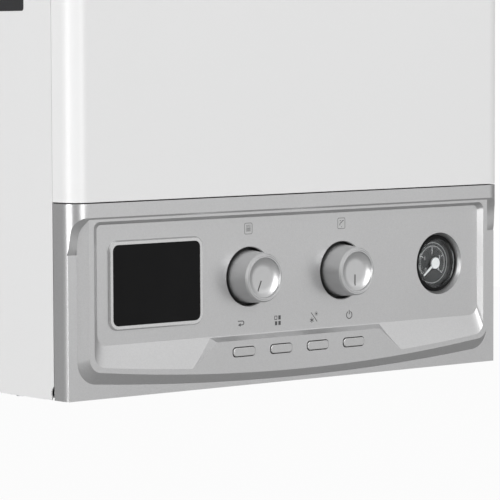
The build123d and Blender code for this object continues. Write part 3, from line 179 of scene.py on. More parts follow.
def makeEdgeWear():
    inputs = [("Width", "NodeSocketFloat", 0.001), ("Breakup", "NodeSocketFloat", 250.0)]
    group, entry, leave = newGroup("edge wear and painted highlight", inputs, "Mask")
    bevel = group.nodes.new("ShaderNodeBevel")
    bevel.samples = edgeWearAndHighlightLook["samples"]
    group.links.new(entry["Width"], bevel.inputs["Radius"])
    surface = group.nodes.new("ShaderNodeNewGeometry")
    facing = vectorNode(group, "DOT_PRODUCT", bevel.outputs["Normal"], surface.outputs["Normal"])
    edge = remap(group, facing, edgeWearAndHighlightLook["facing"], (0, 1))
    edgeBreakup = addTexture(group, "ShaderNodeTexNoise", entry["Breakup"], objectPlace(group))
    edgeBreakup.inputs["Detail"].default_value = edgeWearAndHighlightLook["edgeBreakupDetail"]
    broken = remap(group, edgeBreakup.outputs["Fac"], edgeWearAndHighlightLook["edgeBreakup"], (edgeWearAndHighlightLook["leastEdgeShare"], 1))
    group.links.new(mathNode(group, "MULTIPLY", edge, broken), leave["Mask"])
    return group


toneDriftLook = {"detail": 3, "roughness": 0.6}


def makeToneDrift():
    group, entry, leave = newGroup("tone drift", [("Scale", "NodeSocketFloat", 6.0)], "Value")
    clouds = addTexture(group, "ShaderNodeTexNoise", entry["Scale"], objectPlace(group))
    clouds.inputs["Detail"].default_value = toneDriftLook["detail"]
    clouds.inputs["Roughness"].default_value = toneDriftLook["roughness"]
    group.links.new(remap(group, clouds.outputs["Fac"], noiseMiddle, (0, 1)), leave["Value"])
    return group


fineGrainLook = {"detail": 2}


def makeFineGrain():
    inputs = [("Scale", "NodeSocketFloat", 800.0), ("Stretch", "NodeSocketVector", (1.0, 1.0, 1.0))]
    group, entry, leave = newGroup("fine grain", inputs, "Value")
    stretched = vectorNode(group, "MULTIPLY", objectPlace(group), entry["Stretch"])
    noise = addTexture(group, "ShaderNodeTexNoise", entry["Scale"], stretched)
    noise.inputs["Detail"].default_value = fineGrainLook["detail"]
    group.links.new(noise.outputs["Fac"], leave["Value"])
    return group


def makeMetalFlake():
    group, entry, leave = newGroup("metal flake", [("Scale", "NodeSocketFloat", 2000.0)], "Value")
    cells = addTexture(group, "ShaderNodeTexVoronoi", entry["Scale"], objectPlace(group))
    shade = group.nodes.new("ShaderNodeSeparateColor")
    group.links.new(cells.outputs["Color"], shade.inputs["Color"])
    group.links.new(shade.outputs["Red"], leave["Value"])
    return group


turnedRingsLook = {"detail": 3}


def makeTurnedRings():
    # Fine rings round a knob's own axis
    inputs = [("Centre", "NodeSocketVector", (0.0, 0.0, 0.0)), ("Scale", "NodeSocketFloat", 2500.0)]
    group, entry, leave = newGroup("turned rings", inputs, "Value")
    radius = axisDistance(group, objectPlace(group), entry["Centre"])
    noise = group.nodes.new("ShaderNodeTexNoise")
    noise.noise_dimensions = "1D"
    group.links.new(mathNode(group, "MULTIPLY", radius, entry["Scale"]), noise.inputs["W"])
    noise.inputs["Scale"].default_value = 1
    noise.inputs["Detail"].default_value = turnedRingsLook["detail"]
    group.links.new(noise.outputs["Fac"], leave["Value"])
    return group


boardTracesLook = {"repeats": 3.0, "gap": 0.68}


def makeBoardTraces():
    # Copper tracks, as bands of distance inside square cells
    group, entry, leave = newGroup("board traces", [("Scale", "NodeSocketFloat", 180.0)], "Mask")
    cells = addTexture(group, "ShaderNodeTexVoronoi", entry["Scale"], objectPlace(group))
    cells.distance = "MANHATTAN"
    bands = mathNode(group, "MULTIPLY", cells.outputs["Distance"], boardTracesLook["repeats"])
    waves = mathNode(group, "FRACT", bands)
    group.links.new(mathNode(group, "GREATER_THAN", waves, boardTracesLook["gap"]), leave["Mask"])
    return group


def makeBareWell():
    # Near-black inside a round well that runs back from the panel: painted shade for the knob wells and
    # button slots, bare plastic for the fascia's back
    inputs = [("Centre", "NodeSocketVector", (0.0, 0.0, 0.0)), ("Radius", "NodeSocketFloat", 0.021),
              ("Depth", "NodeSocketFloat", -0.294), ("Fade", "NodeSocketFloat", 0.001)]
    group, entry, leave = newGroup("painted well shade and bare back", inputs, "Mask")
    place = objectPlace(group)
    near = mathNode(group, "LESS_THAN", axisDistance(group, place, entry["Centre"]), entry["Radius"])
    past = mathNode(group, "SUBTRACT", splitPlace(group, place)["Y"], entry["Depth"])
    faded = mathNode(group, "DIVIDE", past, entry["Fade"])
    inside = mathNode(group, "MINIMUM", mathNode(group, "MAXIMUM", faded, 0.0), 1.0)
    group.links.new(mathNode(group, "MULTIPLY", near, inside), leave["Mask"])
    return group


edgeWearAndHighlight = makeEdgeWear()
shadeAndBareDepth = makeBareWell()
toneDrift = makeToneDrift()
fineGrain = makeFineGrain()
metalFlake = makeMetalFlake()
turnedRings = makeTurnedRings()
boardTraces = makeBoardTraces()
print("shared effects ready")

# Finishes


def addGroup(tree, group, output, **values):
    node = tree.nodes.new("ShaderNodeGroup")
    node.node_tree = group
    for label, value in values.items():
        node.inputs[label].default_value = value
    return node.outputs[output]


def mixColors(tree, factor, first, second):
    node = tree.nodes.new("ShaderNodeMix")
    node.data_type = "RGBA"
    feed(tree, node.inputs["Factor"], factor)
    # Sockets 6 and 7 are the node's two colours, and 2 is the mixed one
    for socket, value in ((node.inputs[6], first), (node.inputs[7], second)):
        feed(tree, socket, (*value, 1) if isinstance(value, tuple) else value)
    return node.outputs[2]


def tintColor(tree, color, mask, amount, tint):
    return mixColors(tree, mathNode(tree, "MULTIPLY", mask, amount), color, tint)


def blendShaders(material, factor, first, second):
    # The surface is the first shader where the factor is 0 and the second where it is 1
    tree = material.node_tree
    blend = tree.nodes.new("ShaderNodeMixShader")
    for socket, value in zip(blend.inputs, (factor, first, second)):
        tree.links.new(value, socket)
    tree.links.new(blend.outputs["Shader"], tree.nodes["Material Output"].inputs["Surface"])


def scaled(color, amount):
    return tuple(min(1.0, channel * amount) for channel in color)


plainFinish = {
    "base": (0.5, 0.5, 0.5),
    "drift": 0.05,              # how much the colour darkens in soft clouds
    "driftScale": 9.0,
    "grainScale": 900.0,
    "stretch": (1.0, 1.0, 1.0),
    "grainTone": 0.04,
    "grainDepth": 0.00004,
    "bump": 0.25,
    "roughness": (0.42, 0.52),
    "metallic": 0.0,
    "coat": 0.0,
    "coatRoughness": 0.12,
    "specular": 0.5,
    # Edges go edgeTone times the base colour, by edgeAmount: painted highlight on rounded edges, partly
    # wear
    "edgeWidth": 0.0008,
    "edgeTone": 1.15,
    "edgeAmount": 0.4,
    "pattern": None,
    "patternScale": 2000.0,
    "patternTone": 0.1,
    "centre": (0.0, 0.0, 0.0),
}
patternTint = {"grain": 0.35, "flake": 1.6, "rings": 0.4}    # shares of a finish's own base colour
trackGreen = (0.12, 0.35, 0.16)
roughnessMix = {"grain": 0.6, "drift": 0.4}


def addPattern(tree, look, color, grain):
    # Returns the colour with the finish's pattern in it, and the height for its bump
    tone, scale = look["patternTone"], look["patternScale"]
    if look["pattern"] == "flake":
        flake = addGroup(tree, metalFlake, "Value", Scale=scale)
        return tintColor(tree, color, flake, tone, scaled(look["base"], patternTint["flake"])), grain
    if look["pattern"] == "rings":
        rings = addGroup(tree, turnedRings, "Value", Scale=scale, Centre=look["centre"])
        return tintColor(tree, color, rings, tone, scaled(look["base"], patternTint["rings"])), grain
    if look["pattern"] == "traces":
        traces = addGroup(tree, boardTraces, "Mask", Scale=scale)
        return tintColor(tree, color, traces, tone, trackGreen), mathNode(tree, "ADD", grain, traces)
    return color, grain


def makeFinish(name, **changes):
    look = {**plainFinish, **changes}
    base = look["base"]
    material = bpy.data.materials.new(name)
    material.use_nodes = True
    tree = material.node_tree
    shader = tree.nodes["Principled BSDF"]

    drift = addGroup(tree, toneDrift, "Value", Scale=look["driftScale"])
    grain = addGroup(tree, fineGrain, "Value", Scale=look["grainScale"], Stretch=look["stretch"])
    wearAndHighlight = addGroup(tree, edgeWearAndHighlight, "Mask", Width=look["edgeWidth"])
    swing = look["drift"] / 2
    color = mixColors(tree, drift, scaled(base, 1 + swing), scaled(base, 1 - swing))
    specks = remap(tree, grain, noiseMiddle, (0, 1))
    color = tintColor(tree, color, specks, look["grainTone"], scaled(base, patternTint["grain"]))
    color, height = addPattern(tree, look, color, grain)
    color = tintColor(tree, color, wearAndHighlight, look["edgeAmount"], scaled(base, look["edgeTone"]))
    tree.links.new(color, shader.inputs["Base Color"])

    fine = mathNode(tree, "MULTIPLY", grain, roughnessMix["grain"])
    broad = mathNode(tree, "MULTIPLY", drift, roughnessMix["drift"])
    uneven = mathNode(tree, "ADD", fine, broad)
    tree.links.new(remap(tree, uneven, noiseMiddle, look["roughness"]), shader.inputs["Roughness"])

    bump = tree.nodes.new("ShaderNodeBump")
    bump.inputs["Strength"].default_value = look["bump"]
    bump.inputs["Distance"].default_value = look["grainDepth"]
    tree.links.new(height, bump.inputs["Height"])
    tree.links.new(bump.outputs["Normal"], shader.inputs["Normal"])
    shader.inputs["Metallic"].default_value = look["metallic"]
    shader.inputs["Specular IOR Level"].default_value = look["specular"]
    shader.inputs["Coat Weight"].default_value = look["coat"]
    shader.inputs["Coat Roughness"].default_value = look["coatRoughness"]
    return material


# Places of pieces seen from the front, from the frame


def frontCentre(name):
    low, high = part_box(name)
    return ((low.x + high.x) / 2, 0.0, (low.z + high.z) / 2)


def frontHalf(name, room):
    # How far a piece reaches right of the boiler's middle, and half its height, with room on both
    low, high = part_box(name)
    return (high.x + room[0], (high.z - low.z) / 2 + room[1])


heatingKnob = frontCentre("heating_knob")
waterKnob = frontCentre("water_knob")

# Near-black on the fascia, in metres behind its front face: painted shade in the knob wells and button
# slots, and bare black plastic on its back
wellShadeAndBareBack = {
    "color": (0.012, 0.012, 0.012),
    "back": {"around": "control_fascia", "room": (-0.0026, -0.00265), "depth": 0.0107, "fade": 0.0004},
    "slots": {"around": "power_button", "room": (0.00125, 0.0009), "depth": 0.0013, "fade": 0.0004},
    "wells": {"radius": 0.0209, "depth": 0.0059, "fade": 0.0022},
    "everywhere": 1.0,          # a radius that takes in the whole fascia
}


def depthMask(tree, area, centre, radius):
    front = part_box("control_fascia")[0].y
    return addGroup(tree, shadeAndBareDepth, "Mask", Centre=centre, Radius=radius, Depth=front + area["depth"],
                    Fade=area["fade"])


def blockMask(tree, area):
    # Everything behind the depth, inside a rectangle in the middle of the boiler's width
    height = frontCentre(area["around"])[2]
    halfWidth, halfHeight = frontHalf(area["around"], area["room"])
    place = splitPlace(tree, objectPlace(tree))
    rise = mathNode(tree, "ABSOLUTE", mathNode(tree, "SUBTRACT", place["Z"], height))
    across = mathNode(tree, "LESS_THAN", mathNode(tree, "ABSOLUTE", place["X"]), halfWidth)
    upright = mathNode(tree, "MULTIPLY", across, mathNode(tree, "LESS_THAN", rise, halfHeight))
    return mathNode(tree, "MULTIPLY", upright, depthMask(tree, area, (0, 0, 0), wellShadeAndBareBack["everywhere"]))


def makeFasciaPaint(wells):
    # The silver moulding, with painted shade in near-black in the knob wells and the button slots, and
    # bare black plastic on its back
    material = makeFinish("silver painted fascia with painted well shade", **silverPaint)
    tree = material.node_tree
    shader = tree.nodes["Principled BSDF"]
    back, slots = blockMask(tree, wellShadeAndBareBack["back"]), blockMask(tree, wellShadeAndBareBack["slots"])
    mask = mathNode(tree, "MAXIMUM", back, slots)
    for centre in wells:
        well = depthMask(tree, wellShadeAndBareBack["wells"], centre, wellShadeAndBareBack["wells"]["radius"])
        mask = mathNode(tree, "MAXIMUM", mask, well)
    painted = shader.inputs["Base Color"].links[0].from_socket
    # Painted shade: near-black where the mask is, in the knob wells and the button slots
    tree.links.new(mixColors(tree, mask, painted, wellShadeAndBareBack["color"]), shader.inputs["Base Color"])
    sheen = remap(tree, mask, (0, 1), (silverPaint["metallic"], 0))
    tree.links.new(sheen, shader.inputs["Metallic"])
    return material


clearGlass = {"transmission": 1.0, "ior": 1.2}


def makeClearGlass():
    material = makeFinish("clear gauge glass", base=(0.95, 0.97, 0.97), drift=0.01, grainTone=0.0,
                          bump=0.02, roughness=(0.02, 0.06), edgeAmount=0.1)
    tree = material.node_tree
    shader = tree.nodes["Principled BSDF"]
    shader.inputs["Transmission Weight"].default_value = clearGlass["transmission"]
    shader.inputs["IOR"].default_value = clearGlass["ior"]
    ray = tree.nodes.new("ShaderNodeLightPath")
    clear = tree.nodes.new("ShaderNodeBsdfTransparent")
    blendShaders(material, ray.outputs["Is Shadow Ray"], shader.outputs["BSDF"], clear.outputs["BSDF"])
    return material


silverPaint = {
    "base": (0.575, 0.575, 0.578), "drift": 0.03, "driftScale": 5.0,
    "grainScale": 1500.0, "grainTone": 0.03, "grainDepth": 0.00002,
    "roughness": (0.32, 0.4), "metallic": 0.82,
    "pattern": "flake", "patternScale": 1700.0, "patternTone": 0.11,
    # Painted highlight: a lighter line along the moulding's edges
    "edgeWidth": 0.0009, "edgeTone": 1.25, "edgeAmount": 0.25,
}
spunSilver = {
    **silverPaint,
    "base": (0.615, 0.617, 0.62), "grainTone": 0.01, "bump": 0.05,
    "roughness": (0.31, 0.318), "metallic": 0.85,    # an even gloss, or the turned rim looks speckled
    "pattern": "rings", "patternScale": 1400.0, "patternTone": 0.06,
}
# Painted highlight: lighter rims on the edges of the display frame and the button caps
paintedRimHighlight = {"edgeWidth": 0.0006, "edgeTone": 1.5, "edgeAmount": 0.6}
enamel = {
    "base": (0.80, 0.80, 0.80), "drift": 0.012, "driftScale": 4.0,
    "grainScale": 420.0, "grainTone": 0.008, "grainDepth": 0.00003, "bump": 0.12,
    "roughness": (0.34, 0.44), "coat": 0.15,
    "edgeWidth": 0.0012, "edgeTone": 1.04, "edgeAmount": 0.35,
}
padPrint = {
    "drift": 0.1, "driftScale": 300.0, "grainScale": 4000.0, "grainTone": 0.1,
    "bump": 0.1, "roughness": (0.45, 0.6), "edgeAmount": 0.0,
}

finishes = {
    "enamel": makeFinish("white stove enamel", **enamel),
    "enamelCover": makeFinish(
        "white stove enamel, cover", **{**enamel, "base": (0.84, 0.84, 0.84), "driftScale": 3.0}),
    "silver": makeFasciaPaint([heatingKnob, waterKnob]),
    "bezel": makeFinish(
        "silver display frame",
        **{**silverPaint, **paintedRimHighlight, "base": (0.66, 0.66, 0.66), "roughness": (0.2, 0.28)}),
    "knobHeating": makeFinish("spun silver knob, left", **{**spunSilver, "centre": heatingKnob}),
    "knobWater": makeFinish("spun silver knob, right", **{**spunSilver, "centre": waterKnob}),
    "button": makeFinish(
        "silver button cap",
        **{**silverPaint, **paintedRimHighlight, "base": (0.56, 0.56, 0.56), "roughness": (0.3, 0.38)}),
    # Painted highlight: edges three times lighter on the black window
    "displayGlass": makeFinish(
        "black display window", base=(0.0075, 0.0075, 0.0078), drift=0.2, driftScale=30.0,
        grainScale=2600.0, grainTone=0.05, bump=0.05, roughness=(0.16, 0.24), specular=0.08,
        edgeWidth=0.0006, edgeTone=3.0, edgeAmount=0.5),
    # Painted highlight: edges two and a half times lighter
    "blackPlastic": makeFinish(
        "black moulded plastic", base=(0.018, 0.018, 0.019), drift=0.15, grainScale=1800.0,
        grainTone=0.1, bump=0.4, roughness=(0.38, 0.52), edgeTone=2.5, edgeAmount=0.35),
    # Painted highlight: edges three times lighter on the gauge housing
    "gaugeBody": makeFinish(
        "black gauge housing", base=(0.007, 0.007, 0.007), drift=0.15, grainScale=1800.0,
        grainTone=0.1, bump=0.3, roughness=(0.45, 0.6), specular=0.12, edgeTone=3.0, edgeAmount=0.4),
    "dial": makeFinish(
        "dark gauge dial", base=(0.03, 0.03, 0.031), drift=0.1, driftScale=60.0, grainScale=2500.0,
        grainTone=0.08, bump=0.1, roughness=(0.45, 0.6), specular=0.3, edgeAmount=0.1),
    "needle": makeFinish(
        "white gauge needle", base=(0.6, 0.6, 0.6), drift=0.03, driftScale=200.0, grainTone=0.02,
        bump=0.1, roughness=(0.35, 0.45), edgeWidth=0.0003, edgeTone=1.1),
    "zinc": makeFinish(
        "zinc-coated sheet", base=(0.5, 0.51, 0.53), drift=0.12, driftScale=14.0, grainScale=700.0,
        grainTone=0.08, roughness=(0.3, 0.5), metallic=0.85, pattern="flake", patternScale=130.0,
        patternTone=0.22, edgeTone=1.3),
    "stainless": makeFinish(
        "brushed stainless steel", base=(0.56, 0.56, 0.55), drift=0.08, grainScale=260.0,
        stretch=(1.0, 1.0, 14.0), grainTone=0.12, bump=0.2, roughness=(0.2, 0.36), metallic=0.95,
        edgeTone=1.25),
    "copper": makeFinish(
        "drawn copper tube", base=(0.62, 0.30, 0.19), drift=0.25, driftScale=22.0, grainScale=900.0,
        grainTone=0.12, bump=0.15, roughness=(0.22, 0.42), metallic=1.0, edgeTone=1.2),
    "brass": makeFinish(
        "turned brass", base=(0.60, 0.46, 0.22), drift=0.15, driftScale=30.0, grainScale=1200.0,
        grainTone=0.1, roughness=(0.24, 0.4), metallic=1.0, edgeTone=1.35, edgeAmount=0.6),
    "rubber": makeFinish(
        "soft black rubber", base=(0.025, 0.025, 0.025), drift=0.2, grainScale=1400.0, grainTone=0.15,
        bump=0.6, roughness=(0.62, 0.8), edgeTone=1.8),
    "board": makeFinish(
        "lacquered circuit board", base=(0.02, 0.12, 0.05), drift=0.1, grainScale=1500.0,
        grainTone=0.05, bump=0.5, roughness=(0.25, 0.4), pattern="traces", patternScale=160.0,
        patternTone=0.7, coat=0.4, edgeTone=2.0),
    "greyPlastic": makeFinish(
        "grey glass-filled plastic", base=(0.14, 0.145, 0.15), drift=0.12, grainScale=1600.0,
        grainTone=0.2, bump=0.5, roughness=(0.42, 0.6), edgeTone=1.6),
    "lightPlastic": makeFinish(
        "pale grey plastic", base=(0.56, 0.56, 0.54), drift=0.08, grainScale=1400.0, grainTone=0.06,
        bump=0.35, roughness=(0.38, 0.52)),
    "redPlastic": makeFinish(
        "red moulded plastic", base=(0.45, 0.02, 0.015), drift=0.12, grainScale=1400.0, bump=0.3,
        roughness=(0.3, 0.42), edgeTone=1.5),
    "bluePlastic": makeFinish(
        "blue moulded plastic", base=(0.02, 0.08, 0.36), drift=0.12, grainScale=1400.0, bump=0.3,
        roughness=(0.3, 0.42), edgeTone=1.6),
    "castAluminium": makeFinish(
        "die-cast aluminium", base=(0.5, 0.5, 0.51), drift=0.14, driftScale=18.0, grainScale=600.0,
        grainTone=0.16, grainDepth=0.00012, bump=0.5, roughness=(0.4, 0.58), metallic=0.85,
        edgeTone=1.35, edgeAmount=0.6),
    "vesselRed": makeFinish(
        "red vessel enamel", base=(0.36, 0.015, 0.013), drift=0.1, grainScale=500.0, bump=0.3,
        roughness=(0.26, 0.4), coat=0.3, edgeTone=1.4),
    "whitePlastic": makeFinish(
        "white flue plastic", base=(0.76, 0.76, 0.75), drift=0.03, grainScale=1000.0, grainTone=0.03,
        roughness=(0.3, 0.42)),
    "clearGlass": makeClearGlass(),
    "print": makeFinish("dark grey pad print", base=(0.075, 0.075, 0.078), **padPrint),
    "palePrint": makeFinish("mid grey pad print", base=(0.22, 0.22, 0.22), **padPrint),
    "dialPrint": makeFinish("grey dial print", base=(0.46, 0.46, 0.46), **padPrint),
    # Painted shade: a dark line that stands for the shaded wall of the knob's pointer groove
    "pointer": makeFinish(
        "knob line in painted groove shade", base=(0.1, 0.1, 0.1), drift=0.05, driftScale=300.0, grainScale=3000.0,
        grainTone=0.05, bump=0.1, roughness=(0.35, 0.5), edgeAmount=0.0),
    "darkPlate": makeFinish(
        "bare dark plate", base=(0.022, 0.022, 0.024), drift=0.12, driftScale=60.0, grainScale=2000.0,
        grainTone=0.1, bump=0.2, roughness=(0.3, 0.42), edgeTone=2.0),
}
print("finishes ready")

# Which finish each material slot of the frame gets, and the nodes that differ from it

slotFinish = {
    "white_enamel": "enamel", "silver_plastic": "silver", "knob_silver": "knobHeating",
    "button_silver": "button", "black_glass": "displayGlass", "black_plastic": "blackPlastic",
    "dial_grey": "dial", "needle_white": "needle", "clear_glass": "clearGlass",
    "zinc_steel": "zinc", "stainless": "stainless", "copper": "copper", "brass": "brass",
    "rubber_black": "rubber", "board_green": "board", "grey_plastic": "greyPlastic",
    "light_plastic": "lightPlastic", "red_plastic": "redPlastic", "blue_plastic": "bluePlastic",
    "cast_aluminium": "castAluminium", "vessel_red": "vesselRed", "white_plastic": "whitePlastic",
}
nodeFinish = {
    "front_cover": "enamelCover", "display_bezel": "bezel",
    "water_knob": "knobWater", "gauge_body": "gaugeBody",
}


def dressNodes():
    for part in frame["record"]["subparts"]:
        name = part["node"]
        finish = finishes[nodeFinish.get(name, slotFinish[part["material_slot"]])]
        if not nodes[name].material_slots:
            nodes[name].data.materials.append(finish)
        for holder in nodes[name].material_slots:
            holder.material = finish


dressNodes()
print("nodes dressed")

# Flat outlines, as points in millimetres to the right and up, seen from the front

mitreLimit = 0.4


def strip(points, width, closed=False):
    # A line of even width as four-cornered faces, mitred at its corners
    pairs = []
    count = len(points)
    for index, (x, z) in enumerate(points):
        before = points[index - 1] if closed or index else None
        after = points[(index + 1) % count] if closed or index < count - 1 else None
        steps = []
        if before:
            steps.append(Vector((x - before[0], z - before[1])).normalized())
        if after:
            steps.append(Vector((after[0] - x, after[1] - z)).normalized())
        heading = sum(steps, Vector((0, 0))).normalized()
        side = Vector((-heading.y, heading.x))
        reach = width / 2 / max(mitreLimit, abs(heading.dot(steps[0])))
        pairs.append(((x + side.x * reach, z + side.y * reach), (x - side.x * reach, z - side.y * reach)))
    quads = []
    for index in range(count if closed else count - 1):
        a, b = pairs[index]
        c, d = pairs[(index + 1) % count]
        quads.append((a, b, d, c))
    return quads


def onCircle(centre, radius, degrees):
    # Degrees from straight up, turning clockwise
    a = math.radians(degrees)
    return (centre[0] + radius * math.sin(a), centre[1] + radius * math.cos(a))


def arc(centre, radius, start, end, steps):
    return [onCircle(centre, radius, start + (end - start) * i / steps) for i in range(steps + 1)]


def spoke(centre, inner, outer, degrees, width):
    return strip([onCircle(centre, inner, degrees), onCircle(centre, outer, degrees)], width)


def rectangle(x0, z0, x1, z1):
    return [(x0, z0), (x1, z0), (x1, z1), (x0, z1)]


def softBox(width, tall, radius, steps=5):
    # Outline of a rectangle with round corners
    points = []
    for x, z, start in ((1, 1, 0), (1, -1, 90), (-1, -1, 180), (-1, 1, 270)):
        centre = (x * (width / 2 - radius), z * (tall / 2 - radius))
        points += arc(centre, radius, start, start + 90, steps)
    return points


# Thin pieces, made from flat outlines


def linkPiece(name, data, material):
    data.materials.append(material)
    piece = bpy.data.objects.new(name, data)
    scene.collection.objects.link(piece)
    return piece


def meshPiece(name, mesh, material):
    data = bpy.data.meshes.new(name)
    mesh.to_mesh(data)
    mesh.free()
    return linkPiece(name, data, material)


def thicken(mesh, shift):
    # Turns flat faces into a closed sheet that reaches to their shifted copy
    grown = bmesh.ops.extrude_face_region(mesh, geom=list(mesh.faces), use_keep_orig=True)
    moved = [item for item in grown["geom"] if isinstance(item, bmesh.types.BMVert)]
    bmesh.ops.translate(mesh, vec=shift, verts=moved)
    bmesh.ops.recalc_face_normals(mesh, faces=mesh.faces)


castFrom = cadBox[0][1] - 0.1       # in front of every piece

markDepth = {                       # how far a mark stands out of its surface and reaches into it
    "print": (0.00005, 0.00003),
    "dial": (0.00004, 0.00002),
    "pointer": (0.00025, 0.0001),
}


def surfaceOf(name):
    mesh = nodes[name].data
    return BVHTree.FromPolygons([v.co for v in mesh.vertices], [p.vertices for p in mesh.polygons])


def layMark(name, faces, under, centre, depth, finish):
    # The mark rests on the surface of the node under it, round the centre
    surface = surfaceOf(under)
    rise, sink = markDepth[depth]
    mesh = bmesh.new()
    corners = {}

    def corner(point):
        key = (round(point[0], 4), round(point[1], 4))
        if key not in corners:
            x = centre[0] + point[0] / 1000
            z = centre[2] + point[1] / 1000
            hit = surface.ray_cast(Vector((x, castFrom, z)), Vector((0, 1, 0)))[0]
            corners[key] = mesh.verts.new((x, hit.y - rise, z))
        return corners[key]

    for face in faces:
        ring = []
        for point in face:
            vertex = corner(point)
            if vertex not in ring:
                ring.append(vertex)
        if len(ring) > 2 and not mesh.faces.get(ring):
            mesh.faces.new(ring)
    bmesh.ops.recalc_face_normals(mesh, faces=mesh.faces)
    for face in mesh.faces:
        if face.normal.y > 0:
            face.normal_flip()
    thicken(mesh, (0, rise + sink, 0))
    return meshPiece(name, mesh, finishes[finish])


icons = {
    "height": -0.596,
    "places": {"back": -0.0502, "menu": -0.0166, "season": 0.0175, "power": 0.0514},
    "line": 0.62,
    "fineLine": 0.5,
    "arrowTail": (-2.9, 1.55),
    "arrowBend": {"centre": (1.1, 0.2), "radius": 1.35, "start": 0, "end": 180, "steps": 14},
    "arrowNeck": (-0.8, -1.15),
    "arrowHead": [(-2.8, -1.15), (-0.5, -2.35), (-0.5, 0.05)],
    "openSquare": (-2.7, 0.75, -0.6, 3.1),
    "squares": ((0.75, 0.5, 2.9, 3.4), (-2.4, -3.4, -0.35, -0.6), (0.75, -3.4, 2.9, -0.6)),
    "slash": [(-2.7, 3.7), (3.1, -3.1)],
    "flake": {"centre": (-1.9, -1.9), "reach": 1.9, "arms": 3},
    "sun": {"centre": (2.3, 2.5), "radius": 0.75, "start": 0, "end": 345, "steps": 15},
    "sunRays": {"count": 8, "inner": 1.1, "outer": 1.6, "line": 0.3},
    "powerRing": {"centre": (0, -0.3), "radius": 2.6, "start": 28, "end": 332, "steps": 26},
    "powerBar": [(0, 3.3), (0, 0.1)],
    "powerBarLine": 0.682,
}


def backArrow():
    bend = arc(**icons["arrowBend"])
    faces = strip([icons["arrowTail"]] + bend + [icons["arrowNeck"]], icons["line"])
    return faces + [icons["arrowHead"]]


def menuSquares():
    faces = strip(rectangle(*icons["openSquare"]), icons["fineLine"], closed=True)
    return faces + [rectangle(*square) for square in icons["squares"]]


def seasonSign():
    # A snow flake and a sun, with a slash between them
    flake, rays = icons["flake"], icons["sunRays"]
    faces = strip(icons["slash"], icons["fineLine"])
    for turn in range(flake["arms"]):
        degrees = 180 / flake["arms"] * turn
        faces += spoke(flake["centre"], -flake["reach"], flake["reach"], degrees, icons["fineLine"])
    faces.append(arc(**icons["sun"]))
    for turn in range(rays["count"]):
        degrees = 360 / rays["count"] * turn
        faces += spoke(icons["sun"]["centre"], rays["inner"], rays["outer"], degrees, rays["line"])
    return faces


def powerSign():
    ring = strip(arc(**icons["powerRing"]), icons["line"])
    return ring + strip(icons["powerBar"], icons["powerBarLine"])


def drawIcons():
    drawn = {"back": backArrow(), "menu": menuSquares(), "season": seasonSign(), "power": powerSign()}
    for key, faces in drawn.items():
        centre = (icons["places"][key], 0, icons["height"])
        icon = layMark("icon_" + key, faces, "control_fascia", centre, "print", "print")
        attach(icon, "panel")


knobIcons = {
    "height": -0.5299,
    "places": {"radiator": -0.0432, "tap": 0.0440},
    "frame": (6.9, 7.6, 1.1),
    "line": 0.45,
    "columns": (-1.6, -0.55, 0.5, 1.55),
    "column": (-0.34, -1.9, 0.34, 0.5),
    "heat": ((-0.3, 1.1), (0.3, 1.6), (-0.3, 2.1), (0.3, 2.6)),
    "columnLine": 0.26,
    "spout": [(2.2, 2.0), (1.2, 1.8), (0.0, 0.7), (-1.0, 0.2), (-1.4, -0.7), (-1.5, -1.5)],
    "spoutLine": 0.75,
    "tapHandle": [(-1.7, 1.9), (-0.3, 1.9)],
    "tapHandleLine": 0.6,
    "drop": [(0.1, -1.9), (0.5, -2.6), (0.1, -3.0), (-0.3, -2.6)],
}


def radiatorSign():
    left, foot, right, top = knobIcons["column"]
    line = knobIcons["columnLine"]
    faces = []
    for x in knobIcons["columns"]:
        faces += strip(rectangle(x + left, foot, x + right, top), line, closed=True)
        faces += strip([(x + aside, z) for aside, z in knobIcons["heat"]], line)
    return faces


def tapSign():
    faces = strip(knobIcons["spout"], knobIcons["spoutLine"])
    faces += strip(knobIcons["tapHandle"], knobIcons["tapHandleLine"])
    return faces + [knobIcons["drop"]]


def drawKnobIcons():
    border = strip(softBox(*knobIcons["frame"]), knobIcons["line"], closed=True)
    for key, faces in (("radiator", radiatorSign()), ("tap", tapSign())):
        centre = (knobIcons["places"][key], 0, knobIcons["height"])
        icon = layMark("icon_" + key, border + faces, "control_fascia", centre, "print", "palePrint")
        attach(icon, "panel")


# The knob pointer, a dark strip laid on the knob face as painted groove shade
pointerLine = {
    "start": 2.4,
    "end": 10.2,
    "angles": {"heating": 204.0, "water": 181.0},
    "width": 0.75,
    "steps": 14,
}


def drawPointers():
    start, end, steps = pointerLine["start"], pointerLine["end"], pointerLine["steps"]
    reach = [start + (end - start) * step / steps for step in range(steps + 1)]
    for side, centre in (("heating", heatingKnob), ("water", waterKnob)):
        points = [onCircle((0, 0), radius, pointerLine["angles"][side]) for radius in reach]
        faces = strip(points, pointerLine["width"])
        pointer = layMark(side + "_pointer", faces, side + "_knob", centre, "pointer", "pointer")
        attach(pointer, side + "_knob")


gaugeScale = {
    "zero": -128.0,             # degrees from straight up
    "sweep": 256.0,
    "highest": 4,
    "ticks": 10,                # from one number to the next
    "ring": {"centre": (0, 0), "radius": 14.9, "start": 0, "end": 356, "steps": 89},
    "ringLine": 0.3,
    "scaleRadius": 12.6,
    "scaleSteps": 72,
    "scaleLine": 0.22,
    "tickLengths": (2.6, 1.5, 1.0),     # at a number, half way, and between
    "numberTickLine": 0.5,
    "tickLine": 0.24,
    "digitRadius": 8.2,
    "digitSize": 0.0040,
    "digitDepth": 0.00003,
    "digitRise": 0.00002,
}
gaugeCentre = frontCentre("gauge_glass")


